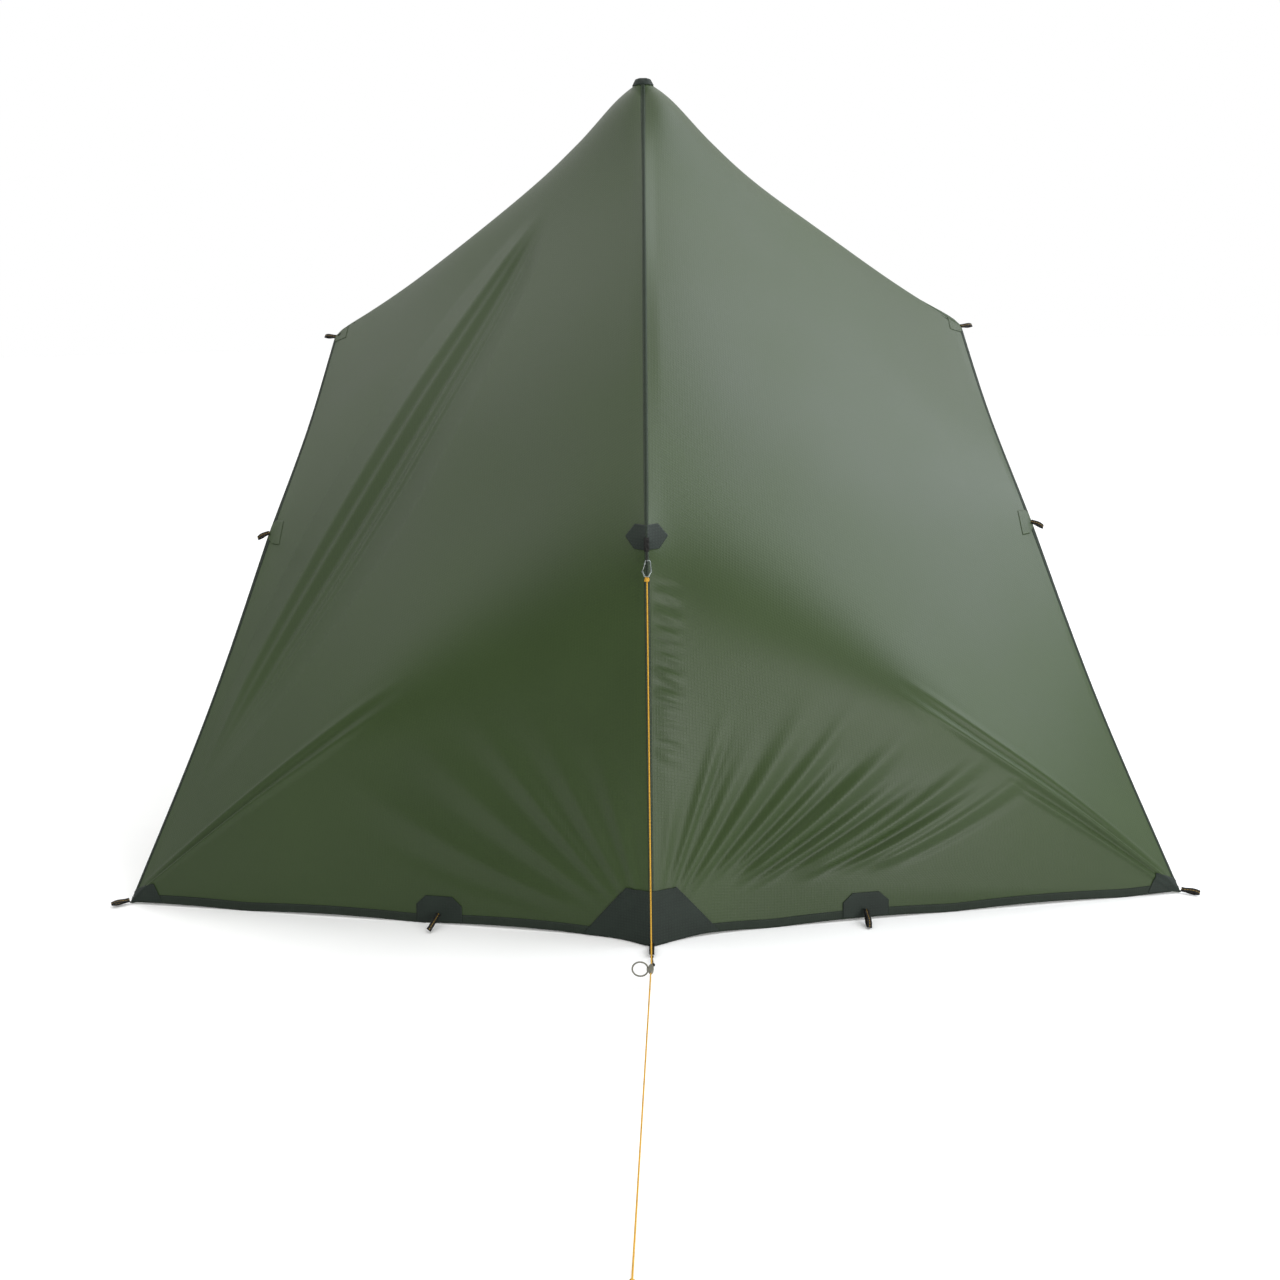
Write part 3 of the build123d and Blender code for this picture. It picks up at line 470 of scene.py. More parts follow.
def material(name):
    """A shelter material by its short name, made the first time it is asked for."""
    if name in MATERIALS:
        return MATERIALS[name]
    colours = bpy.context.scene.shelter_colours
    cloth = bpy.context.scene.shelter_cloth
    makers = {
        "cloth": coated_nylon,
        "binding": lambda: woven_tape("stitched_polyester_binding", colours.binding, "#2a322b",
                                      2 * cloth.tape_width + 0.003, rows=(0.08, 0.92)),
        "seam": lambda: woven_tape("stitched_seam_tape", "#222d20", "#4c584a", cloth.seam_width,
                                   rows=(0.14, 0.86)),
        "patch": lambda: pack_cloth("coated_pack_cloth", colours.patch),
        "webbing": lambda: nylon_webbing("woven_nylon_webbing", 0.0016),
        "plain_webbing": lambda: nylon_webbing("plain_nylon_webbing", 0.0),
        # each cord's second colour is the painted shade in the gaps between its strands
        "guyline": lambda: braided_cord("braided_polyamide_guyline", colours.guyline, "#8c681d"),
        "black_cord": lambda: braided_cord("braided_black_cord", "#191815", "#0c0b0a", 0.0025),
        "ring_cord": lambda: braided_cord("braided_grey_cord", colours.hardware, "#4b4a42", 0.0025),
        "carabiner": lambda: brushed_metal("polished_aluminium_rod", "#8d9591", 0.3, (1, 1, 6)),
        "gate": lambda: brushed_metal("drawn_stainless_wire", "#b9bcbb", 0.2, (1, 1, 8)),
        "tube": lambda: brushed_metal("anodised_aluminium_tube", "#75797b", 0.34, (10, 10, 1), coat=0.1),
        "inner_tube": lambda: brushed_metal("bare_aluminium_tube", "#a7abad", 0.3, (10, 10, 1)),
        "steel": lambda: brushed_metal("zinc_plated_steel", "#a9a9a4", 0.32, (1, 1, 1)),
        "tensioner": lambda: moulded_polymer("moulded_taupe_nylon", colours.hardware, 0.45, 0.0008),
        "plastic": lambda: moulded_polymer("moulded_black_nylon", "#1e2022", 0.48, 0.0008),
        "rubber": lambda: moulded_polymer("moulded_rubber", "#1a1a19", 0.75, 0.0012),
    }
    MATERIALS[name] = makers[name]()
    return MATERIALS[name]


# ---------------------------------------------------------------- the canopy's surface
def spread(points, count):
    """Points on a smooth line through the given ones, evenly spaced."""
    points = np.asarray(points, float)
    padded = np.vstack((2 * points[0] - points[1], points, 2 * points[-1] - points[-2]))
    dense = []
    for a, b, c, d in zip(padded[:-3], padded[1:-2], padded[2:-1], padded[3:]):
        for t in np.linspace(0, 1, 40, endpoint=False):
            dense.append(0.5 * (2 * b + (c - a) * t + (2 * a - 5 * b + 4 * c - d) * t ** 2
                                + (3 * b - a - 3 * c + d) * t ** 3))
    dense = np.array(dense + [points[-1]])
    run = np.concatenate(([0], np.cumsum(np.linalg.norm(np.diff(dense, axis=0), axis=1))))
    at = np.linspace(0, run[-1], count + 1)
    return np.stack([np.interp(at, run, dense[:, k]) for k in range(3)], axis=1)


def swell(t, peak):
    """A curve that is 0 at both ends and 1 at the given share of its length."""
    a = peak / (1 - peak)
    top = peak ** a * (1 - peak)
    return np.clip(t, 0, 1) ** a * (1 - np.clip(t, 0, 1)) / top


def panel_base():
    """The right panel's points before its folds: rows from the front hem over the roof to the rear hem."""
    u = np.linspace(0, 1, COLUMNS + 1)[:, None]
    hem = spread([FRONT_CENTRE, FRONT_BOW, FRONT_LOOP, FRONT_CORNER], COLUMNS)
    straight_crease = LIFTER + (FRONT_CORNER - LIFTER) * u
    crease = straight_crease + np.array((0.03, 0.0, 0.052)) * swell(u, 0.55)
    sagging = ((0.0, 0.0), (0.08, -0.003), (0.20, 0.035), (0.36, 0.056), (0.68, 0.047), (0.88, 0.026),
               (1.0, 0.0))
    contour = spread([PEAK + (UPPER_CORNER - PEAK) * t - np.array((0, 0, fall)) for t, fall in sagging],
                     COLUMNS)
    rear_hem = REAR_CENTRE + (UPPER_CORNER - REAR_CENTRE) * u + np.array((-0.02, -0.07, 0.01)) * swell(u, 0.5)
    v = np.linspace(0, 1, ROOF_ROWS + 1)[:, None]
    seam = LIFTER + (PEAK - LIFTER) * v + np.array((0, 0.006, -0.006)) * swell(v, 0.5)
    side = np.vstack((
        spread([FRONT_CORNER, FRONT_CORNER * 0.5 + SIDE_LOOP * 0.5 - np.array((0.016, 0, 0.004)), SIDE_LOOP],
               60)[:-1],
        spread([SIDE_LOOP, SIDE_LOOP * 0.5 + UPPER_CORNER * 0.5 - np.array((0.012, 0, 0)), UPPER_CORNER], 60)))
    side = resample(side, ROOF_ROWS)
    rows = np.zeros((ROWS + 1, COLUMNS + 1, 3))
    for row in range(WALL_ROWS + 1):
        s = row / WALL_ROWS
        rows[row] = hem * (1 - s) + crease * s
    for row in range(ROOF_ROWS + 1):
        s = row / ROOF_ROWS
        across = crease * (1 - s) + contour * s
        down = seam[row] * (1 - u) + side[row] * u
        corners = ((LIFTER * (1 - s) + PEAK * s) * (1 - u) + (FRONT_CORNER * (1 - s) + UPPER_CORNER * s) * u)
        rows[CREASE_ROW + row] = across + down - corners
    for row in range(REAR_ROWS + 1):
        s = row / REAR_ROWS
        rows[CONTOUR_ROW + row] = contour * (1 - s) + rear_hem * s
    return rows


def resample(line, count):
    """The same line with evenly spaced points."""
    run = np.concatenate(([0], np.cumsum(np.linalg.norm(np.diff(line, axis=0), axis=1))))
    at = np.linspace(0, run[-1], count + 1)
    return np.stack([np.interp(at, run, line[:, k]) for k in range(3)], axis=1)


def relax(rows, turns, weight):
    """Pull each inner point towards the mean of its neighbours, as tension does, by its own weight."""
    weight = weight[1:-1, 1:-1, None]
    for _ in range(turns):
        mean = (rows[:-2, 1:-1] + rows[2:, 1:-1] + rows[1:-1, :-2] + rows[1:-1, 2:]) * 0.25
        rows[1:-1, 1:-1] += (mean - rows[1:-1, 1:-1]) * weight
    return rows


def grid_normals(rows):
    """Outward normals of a grid of points on the right half."""
    along = np.gradient(rows, axis=1)
    up = np.gradient(rows, axis=0)
    normals = np.cross(along, up)
    length = np.linalg.norm(normals, axis=2, keepdims=True)
    normals = normals / np.maximum(length, 1e-12)
    weak = length[..., 0] < 1e-9
    normals[weak] = np.array((0.5, -0.7, 0.5)) / 0.995
    return normals


def gauss(x):
    """A bell that is 1 at 0 and nearly 0 past 2."""
    return np.exp(-x * x)


def along_fold(x, z, start, end):
    """Share of the way along a straight fold seen from the front, and the distance to its right side."""
    a, b = np.array(start), np.array(end)
    d = b - a
    length = math.hypot(*d)
    t = ((x - a[0]) * d[0] + (z - a[1]) * d[1]) / length ** 2
    s = ((z - a[1]) * d[0] - (x - a[0]) * d[1]) / length
    return t, s


def ease(t, low, high):
    """0 below low, 1 above high, smooth between."""
    k = np.clip((t - low) / (high - low), 0, 1)
    return k * k * (3 - 2 * k)


# folds that spread from the front centre: the angle from the seam and the width in degrees, the start and
# the end in metres from the centre, and the depth in millimetres, below 0 for a hollow
RIGHT_FAN = [(9, 2.0, 0.10, 0.42, 3), (15, 2.0, 0.10, 0.50, -3), (19.5, 1.5, 0.12, 0.62, 5),
             (22.5, 1.0, 0.12, 0.58, -9), (25.5, 1.0, 0.12, 0.50, -7), (29, 2.0, 0.10, 0.60, 5),
             (33, 1.4, 0.10, 0.56, -5), (37.5, 2.4, 0.14, 0.74, 9),
             (42, 1.2, 0.16, 0.62, -6), (46, 1.5, 0.20, 0.80, 8), (49.5, 1.0, 0.22, 0.70, -6),
             (52, 1.1, 0.25, 0.66, 7),
             (54.5, 0.9, 0.22, 0.74, -7), (58, 1.6, 0.26, 0.86, 11), (61.5, 0.8, 0.25, 0.76, -8),
             (64, 0.9, 0.28, 0.78, 7), (66, 0.7, 0.30, 0.80, -6), (68, 0.8, 0.40, 0.84, 6),
             (70.5, 1.2, 0.42, 1.04, 10), (73, 0.7, 0.45, 0.98, -7), (75, 0.7, 0.55, 1.02, 5),
             (77.3, 0.9, 0.62, 1.16, 7), (79.6, 0.6, 0.70, 1.15, -4)]
LEFT_FAN = [(8, 2.2, 0.08, 0.40, -4), (15, 2.5, 0.08, 0.55, 6), (21, 2.2, 0.12, 0.50, -6),
            (28, 2.4, 0.10, 0.65, 7),
            (35, 2.3, 0.08, 0.68, -7), (41, 2.2, 0.12, 0.75, 7), (47, 2.2, 0.12, 0.80, -6),
            (54, 2.5, 0.16, 0.85, 5),
            (61, 2.2, 0.16, 0.85, -4), (69, 2.3, 0.20, 0.95, 4), (76, 2.0, 0.25, 0.90, -3)]


def fan_folds(x, z, folds):
    """Folds that fan out from the front centre across the wall."""
    angle = np.degrees(np.arctan2(np.abs(x), np.maximum(z, 1e-4)))
    reach = np.hypot(x, z)
    height = np.zeros_like(x)
    for turn, width, start, end, depth in folds:
        # hollows are shallower than the ridges beside them
        tall = FAN_SCALE * (depth if depth > 0 else HOLLOW_SHARE * depth) * MM
        swirl = turn - 9.0 * (reach - 0.6) * (turn / 60)
        rise = ease(reach, start, start + 0.12) * (1 - ease(reach, start + 0.45 * (end - start), end * 1.15))
        growth = np.sqrt(np.minimum(reach / 0.45, 1.6))
        height += tall * rise * growth * gauss((angle - swirl) / (1.2 * width))
    return height


def crease_folds(u, off, second):
    """Two thin ridges, side by side, that run along the crease into the front corner."""
    shown = ease(u, 0.42, 0.60) * (1 - ease(u, 0.97, 1.0))
    gap = 0.010 + 0.040 * np.clip((1 - u) / 0.5, 0, 1) ** 0.8
    width = 0.006 + 0.008 * np.clip((1 - u) / 0.5, 0, 1)
    height = 0.0075 * gauss((off - 0.25 * gap) / width) + 0.0085 * gauss((off + 0.75 * gap) / width)
    height -= 0.006 * gauss((off + 0.25 * gap) / (width * 1.4))
    if second:
        height += 0.006 * ease(u, 0.62, 0.74) * gauss((off + 1.9 * gap) / width)
        height -= 0.004 * ease(u, 0.62, 0.74) * gauss((off + 1.4 * gap) / (width * 1.5))
    return height * shown


def band_fold(x, z):
    """The long slack fold of the left roof: slopes that fall to the lower right, with thin crests between."""
    t, s = along_fold(x, z, (-0.345, 2.085), (-1.40, 0.33))
    bow = 0.018 * swell(t, 0.5)
    wide = 0.008 + 0.047 * np.clip(np.sin(np.pi * np.clip(t, 0, 1)), 0, 1) ** 0.75
    w = (s + bow) / wide
    steps_at = [-2.8, -1.00, -0.90, -0.40, -0.28, 0.36, 0.50, 0.86, 1.15, 1.36, 3.0]
    steps = [0.0, 0.44, 0.44, 0.06, 0.13, -0.38, -0.28, -0.46, -0.34, -0.46, 0.0]
    shown = ease(t, 0.0, 0.12) * (1 - ease(t, 0.84, 1.02))
    return 0.95 * wide * np.interp(w, steps_at, steps, left=0, right=0) * shown


def shape_folds(rows, u, side):
    """How far each point of a panel stands out along its normal, in metres."""
    x, z = side * rows[..., 0], rows[..., 2]
    row_index = np.arange(ROWS + 1)[:, None] + np.zeros_like(u)
    wall = 1 - ease(row_index, CREASE_ROW - 14.0, CREASE_ROW + 2.0)
    roof = (ease(row_index, CREASE_ROW - 2.0, CREASE_ROW + 8.0)
            * (1 - ease(row_index, CONTOUR_ROW - 6.0, CONTOUR_ROW + 4.0)))
    crease_point = rows[CREASE_ROW][None]
    off = np.linalg.norm(rows - crease_point, axis=2) * np.sign(row_index - CREASE_ROW) * 0.9
    height = fan_folds(x, z, RIGHT_FAN if side > 0 else LEFT_FAN) * wall
    height += crease_folds(u, off, side > 0)
    if side < 0:
        height += band_fold(x, z) * roof
    else:
        # short puckers beside the seam below the lifter, where the stitches draw the cloth in
        ripple = np.sin(2 * np.pi * (z + 0.35 * x) / 0.043 + 1.6 * np.sin(z * 31)) * 0.0048
        height += (ripple * ease(x, 0.008, 0.022) * (1 - ease(x, 0.05, 0.115)) * ease(z, 0.40, 0.62)
                   * (1 - ease(z, 0.97, 1.03)) * wall)
    # soft waves over the whole cloth
    slow = np.zeros_like(x)
    flat = rows.reshape(-1, 3)
    for index, point in enumerate(flat):
        slow.flat[index] = noise.noise(Vector((side * point[0] * 1.7, point[1] * 1.2 + 4, point[2] * 1.5)))
    height += 0.010 * slow
    return height


def build_panel(side):
    """One half of the canopy as a grid of points and its outward normals.
    The side is 1 on the right and -1 on the left."""
    depth = bpy.context.scene.shelter_cloth.fold_depth
    rows = panel_base()
    u = np.linspace(0, 1, COLUMNS + 1)[None, :] + np.zeros((ROWS + 1, 1))
    row_index = np.arange(ROWS + 1)[:, None] + np.zeros_like(u)
    held = np.ones_like(u)
    held[[CREASE_ROW, CONTOUR_ROW], :] = 0
    rows = relax(rows, 500, held)
    # the crease is rounded near the lifter and sharp near the corner
    spread_at_crease = (np.exp(-((row_index - CREASE_ROW) / 20.0) ** 2)
                        * (1 - 0.95 * ease(u, 0.2, 0.62)) * ease(u, 0.0, 0.03))
    rows = relax(rows, 300, spread_at_crease)
    spread_at_contour = (np.exp(-((row_index - CONTOUR_ROW) / 12.0) ** 2)
                         * ease(u, 0.0, 0.06) * (1 - ease(u, 0.93, 1.0)))
    contour = rows[CONTOUR_ROW].copy()
    rows = relax(rows, 60, spread_at_contour)
    # rounding the ridge lowers it, so it is lifted back to the line that it had
    lost = contour - rows[CONTOUR_ROW]
    rows += lost[None] * np.exp(-((row_index - CONTOUR_ROW) / 16.0) ** 2)[..., None]
    normals = grid_normals(rows)
    normals[:, 0, 0] = 0
    normals /= np.linalg.norm(normals, axis=2, keepdims=True)
    fade = ease(u, 0.0, 0.035) * (1 - 0.75 * ease(u, 0.97, 1.0))
    fade *= ease(row_index, -2.0, 10.0) * (1 - ease(row_index, ROWS - 8.0, ROWS))
    rows = rows + normals * (shape_folds(rows, u, side) * fade * depth)[..., None]
    # the ground hem dips and lifts a little between its loops
    lift = 0.007 * np.abs(np.sin(u * 9.5 + side)) * (1 - ease(row_index, 0.0, 26.0)) * ease(u, 0.04, 0.12)
    rows[..., 2] += lift + 0.0015 * (1 - ease(row_index, 0.0, 6.0))
    # the cup holds the peak up on a small round flat
    around = np.hypot(rows[..., 0], rows[..., 1])
    tip = PEAK_HEIGHT - 2.0 * np.maximum(0, around - CUP_RADIUS)
    rows[..., 2] = np.maximum(rows[..., 2], np.where(around < 0.12, tip, -1))
    rows[..., 2] = np.minimum(rows[..., 2], PEAK_HEIGHT)
    # nothing reaches below the ground
    rows[..., 2] = np.maximum(rows[..., 2], CLOTH_LOWEST)
    rows[..., 0] = np.maximum(rows[..., 0], 0)
    rows[:, 0, 0] = 0
    normals = grid_normals(rows)
    normals[:, 0, 0] = 0
    normals /= np.maximum(np.linalg.norm(normals, axis=2, keepdims=True), 1e-9)
    mirror = np.array((side, 1, 1))
    return rows * mirror, normals * mirror


def panel_faces(side):
    """The grid's faces, turned so that they point outwards on either side."""
    i = np.arange(ROWS)[:, None] * (COLUMNS + 1) + np.arange(COLUMNS)[None, :]
    quads = np.stack((i, i + 1, i + COLUMNS + 2, i + COLUMNS + 1), axis=-1).reshape(-1, 4)
    return quads if side > 0 else quads[:, ::-1]


def panel_uv(rows):
    """UVs of a panel in metres, measured across from the seam and up from the hem."""
    across = np.concatenate((np.zeros((ROWS + 1, 1)),
                             np.cumsum(np.linalg.norm(np.diff(rows, axis=1), axis=2), axis=1)), axis=1)
    up = np.concatenate(([0], np.cumsum(np.linalg.norm(np.diff(rows[:, 0], axis=0), axis=1))))
    return np.stack((across, up[:, None] + np.zeros_like(across)), axis=-1).reshape(-1, 2)


def canopy_tree():
    """A search tree of both panels, for everything that is sewn on them."""
    if "tree" not in SHEETS:
        points, faces = [], []
        for side in (1, -1):
            rows = SHEETS[side][0]
            faces += [tuple(int(k) + len(points) for k in f) for f in panel_faces(side)]
            points += [Vector(p) for p in rows.reshape(-1, 3)]
        SHEETS["tree"] = BVHTree.FromPolygons(points, faces)
    return SHEETS["tree"]


# ---------------------------------------------------------------- tapes
def strip_piece(name, sections, thickness, outward_first=True):
    """A tape from its cross sections, each a list of points, with UVs in metres and a small thickness."""
    sections = np.array(sections)
    count, wide = sections.shape[:2]
    run = np.concatenate(([0], np.cumsum(np.linalg.norm(np.diff(sections[:, wide // 2], axis=0), axis=1))))
    across = np.concatenate((np.zeros((count, 1)),
                             np.cumsum(np.linalg.norm(np.diff(sections, axis=1), axis=2), axis=1)), axis=1)
    uv = np.stack((across, run[:, None] + np.zeros_like(across)), axis=-1).reshape(-1, 2)
    i = np.arange(count - 1)[:, None] * wide + np.arange(wide - 1)[None, :]
    quads = np.stack((i, i + 1, i + wide + 1, i + wide), axis=-1).reshape(-1, 4)
    if not outward_first:
        quads = quads[:, ::-1]
    piece = mesh_piece(name, sections.reshape(-1, 3), quads, uv)
    apply_modifier(piece, "SOLIDIFY", thickness=thickness, offset=1.0)
    return piece


def edge_tape(name, edge, normals, inward, turn, share_of_width):
    """A binding folded over a hem: it lies on the outside, wraps the edge and lies on the inside."""
    width = bpy.context.scene.shelter_cloth.tape_width * share_of_width
    cloth = bpy.context.scene.shelter_cloth.cloth
    tree = canopy_tree()
    sections = []
    for point, normal, direction in zip(edge, normals, inward):
        section = []
        for share in (1.0, 0.75, 0.5, 0.25, 0.04):
            found, up, _, _ = tree.find_nearest(Vector(point + direction * width * share))
            up = up if up.dot(Vector(normal)) > 0 else -up
            section.append(np.array(found) + np.array(up) * 0.0006)
        under = [p - normal * (0.0018 + cloth) for p in reversed(section)]
        wrap = point - direction * 0.0012 - normal * cloth * 0.5
        sections.append(section + [wrap] + under)
    return strip_piece(name, sections, 0.0007, turn)


def unit(vectors):
    """The same directions, one metre long."""
    return vectors / np.maximum(np.linalg.norm(vectors, axis=-1, keepdims=True), 1e-9)


def edge_data(side, which):
    """Points, normals and inward directions along one edge of a panel."""
    rows, normals = SHEETS[side]
    if which == "front":
        edge, up = rows[0], normals[6]
        keep = slice(0, COLUMNS - 1)
        guide = LIFTER * np.array((side, 1, 1))
    elif which == "side":
        edge, up = rows[CREASE_ROW:CONTOUR_ROW + 1, -1], normals[CREASE_ROW:CONTOUR_ROW + 1, -6]
        keep = slice(1, ROOF_ROWS)
        guide = np.array((0, -0.5, 1.3))
    else:
        edge, up = rows[-1], normals[-6]
        keep = slice(0, COLUMNS - 1)
        guide = PEAK
    tangent = unit(np.gradient(edge, axis=0))
    inward = unit(np.cross(up, tangent))
    flip = np.sign(np.sum((guide - edge) * inward, axis=1))
    inward = inward * flip[:, None]
    return edge[keep], up[keep], inward[keep]


def seam_strip(name, rows_range, lift):
    """A tape along the centre seam, across both panels."""
    width = bpy.context.scene.shelter_cloth.seam_width
    line = SHEETS[1][0][rows_range, 0]
    up = unit(SHEETS[1][1][rows_range, 0])
    tree = canopy_tree()
    sections = []
    for point, normal in zip(line, up):
        section = []
        for share in (-0.5, -0.3, -0.12, 0.0, 0.12, 0.3, 0.5):
            found = tree.find_nearest(Vector(point + np.array((share * width, 0, 0))))[0]
            # the two turned-in edges make the middle stand a little higher
            rise = lift + 0.0009 * (1 - abs(share) * 2) ** 0.5
            section.append(np.array(found) + normal * rise)
        sections.append(section)
    return strip_piece(name, sections, 0.0007, True)


# ---------------------------------------------------------------- patches
def cuts_for(side, *cuts):
    """The cuts of a right-hand patch, turned over for the left one."""
    return [(a if side > 0 else 180 - a, d) for a, d in cuts]


def sewn_patch(name, centre, size, cuts, direction, divisions=34, lift=0.0016, nodes=(), finish="patch",
               thickness=0.0009):
    """A patch cut from a subdivided rectangle, laid on the canopy along one direction and given a thickness.
    Each cut is (angle of the outward side in degrees, distance from the centre)."""
    direction = Vector(direction).normalized()
    across = Vector((0, 0, 1)).cross(direction)
    across = across.normalized() if across.length > 0.1 else Vector((1, 0, 0))
    upward = direction.cross(across) * -1 if abs(direction.z) > 0.9 else direction.cross(across)
    if upward.z < 0 or abs(direction.z) > 0.9 and upward.y < 0:
        upward = -upward
    deselect()
    bpy.ops.mesh.primitive_grid_add(x_subdivisions=divisions, y_subdivisions=divisions, size=1)
    piece = bpy.context.active_object
    piece.name = name
    piece.scale = (size[0], size[1], 1)
    place(piece)
    bpy.ops.object.mode_set(mode="EDIT")
    for angle, distance in cuts:
        outward = Vector((math.cos(math.radians(angle)), math.sin(math.radians(angle)), 0))
        bpy.ops.mesh.select_all(action="SELECT")
        bpy.ops.mesh.bisect(plane_co=outward * distance, plane_no=outward, clear_outer=True)
    bpy.ops.object.mode_set(mode="OBJECT")
    tree = canopy_tree()
    lost = []
    for vertex in piece.data.vertices:
        flat = vertex.co
        start = Vector(centre) + across * flat.x + upward * flat.y
        found, up, _, _ = tree.ray_cast(start - direction * 1.0, direction, 3.0)
        if found is None:
            found, up, _, _ = tree.find_nearest(start)
            lost.append(vertex.index)
        if up.dot(direction) > 0:
            up = -up
        vertex.co = found + up * lift
    # what reaches past the edge of the cloth is dropped
    if lost:
        drop = set(lost)
        bpy.ops.object.mode_set(mode="EDIT")
        bpy.ops.mesh.select_all(action="DESELECT")
        bpy.ops.object.mode_set(mode="OBJECT")
        for vertex in piece.data.vertices:
            vertex.select = vertex.index in drop
        bpy.ops.object.mode_set(mode="EDIT")
        bpy.ops.mesh.delete(type="VERT")
        bpy.ops.object.mode_set(mode="OBJECT")
    mean = Vector((0, 0, 0))
    for face in piece.data.polygons:
        mean += face.normal * face.area
    if mean.dot(direction) > 0:
        piece.data.flip_normals()
    piece.data.shade_smooth()
    apply_modifier(piece, "SOLIDIFY", thickness=thickness, offset=1.0)
    return finish_piece(piece, "canopy", material(finish), nodes)


# ---------------------------------------------------------------- webbing and cords
def webbing_path(base, pull, flat_normal, length, gap, sewn, droop):
    """The middle line of a folded webbing loop, out from its base and back."""
    share = np.linspace(0, 1, 17)
    out = []
    for t in share:
        reach = sewn + (length - sewn) * t
        half = gap / 2 * swell(np.array(min(t * 1.02, 1.0)), 0.62) + 0.0009
        out.append((reach, float(half)))
    turned = [(length + gap * 0.16 * math.sin(math.pi * k / 8), 0.0009 * math.cos(math.pi * k / 8))
              for k in range(1, 8)]
    line = [(0.0, 0.0009)] + out + turned + [(r, -h) for r, h in reversed(out)] + [(0.0, -0.0009)]
    points = []
    for reach, half in line:
        fall = droop * (max(reach - sewn, 0) / length) ** 1.6
        points.append(Vector(base) + pull * reach + flat_normal * half - Vector((0, 0, fall)))
    return points


def webbing_loop(name, base, pull, flat_normal, body, nodes, length=0.052, gap=0.008, sewn=0.009, droop=0.0,
                 twist=0.0, finish="webbing"):
    """A loop of folded webbing with rounded end and stitched root."""
    width = bpy.context.scene.shelter_cloth.webbing_width
    pull = Vector(pull).normalized()
    flat_normal = Vector(flat_normal)
    flat_normal = (flat_normal - pull * flat_normal.dot(pull)).normalized()
    sideways = pull.cross(flat_normal)
    line = webbing_path(base, pull, flat_normal, length, gap, sewn, droop)
    sections = []
    for point in line:
        reach = (point - Vector(base)).dot(pull) / length
        turn = Matrix.Rotation(twist * max(0.0, min(1.0, reach)), 3, pull)
        across = turn @ sideways
        sections.append([np.array(point + across * width * k) for k in (-0.5, -0.25, 0, 0.25, 0.5)])
    piece = strip_piece(name, sections, 0.0014, True)
    return finish_piece(piece, body, material(finish), nodes)


def curve_line(name, points, diameter, cyclic=False, resolution=12):
    """A round cord as one NURBS spline, open or closed, whose control points are the given ones."""
    data = bpy.data.curves.new(name, "CURVE")
    data.dimensions = "3D"
    data.bevel_depth = diameter / 2
    data.bevel_resolution = 4
    data.use_fill_caps = True
    spline = data.splines.new("NURBS")
    spline.points.add(len(points) - 1)
    for place_on, point in zip(spline.points, points):
        place_on.co = (*point, 1.0)
    spline.use_cyclic_u = cyclic
    spline.order_u = 3
    spline.use_endpoint_u = not cyclic
    spline.resolution_u = resolution
    piece = bpy.data.objects.new(name, data)
    bpy.context.scene.collection.objects.link(piece)
    return piece


def line_points(piece):
    """Points along a curve's own line, from the curve with no bevel."""
    data = piece.data
    depth, data.bevel_depth = data.bevel_depth, 0.0
    mesh = bpy.data.meshes.new_from_object(piece)
    points = [v.co.copy() for v in mesh.vertices]
    bpy.data.meshes.remove(mesh)
    data.bevel_depth = depth
    return points


def to_mesh(piece):
    """Turn a curve into a mesh in place and point its faces outwards."""
    activate(piece)
    bpy.ops.object.convert(target="MESH")
    made = bpy.context.active_object
    bpy.ops.object.mode_set(mode="EDIT")
    bpy.ops.mesh.select_all(action="SELECT")
    bpy.ops.mesh.remove_doubles(threshold=1e-6)
    bpy.ops.mesh.normals_make_consistent(inside=False)
    bpy.ops.object.mode_set(mode="OBJECT")
    made.data.shade_smooth()
    return made


def wrapped_knot(name, centre, axis, radius, diameter, turns, body, finish, nodes):
    """A tight stopper knot: turns of cord wound side by side, with one strand laid over them."""
    axis = Vector(axis).normalized()
    side = axis.orthogonal().normalized()
    other = axis.cross(side)
    wind = radius - diameter / 2
    points = []
    steps = int(turns * 12)
    for k in range(steps + 1):
        t = k / steps
        angle = 2 * math.pi * turns * t
        bulge = wind * (0.72 + 0.28 * math.sin(math.pi * t))
        points.append(Vector(centre) + axis * (t - 0.5) * (2 * radius - diameter)
                      + (side * math.cos(angle) + other * math.sin(angle)) * bulge)
    cross = [Vector(centre) + axis * s * wind
             + (side * math.cos(a) + other * math.sin(a)) * wind * 1.12
             for s, a in ((1.0, 0.2), (0.5, 0.9), (0.0, 1.5), (-0.5, 2.1), (-1.0, 2.8))]
    knot = to_mesh(curve_line(name, points, diameter, resolution=4))
    strand = to_mesh(curve_line(name + "_strand", cross, diameter, resolution=6))
    activate(knot)
    strand.select_set(True)
    bpy.ops.object.join()
    return finish_piece(knot, body, material(finish), nodes)


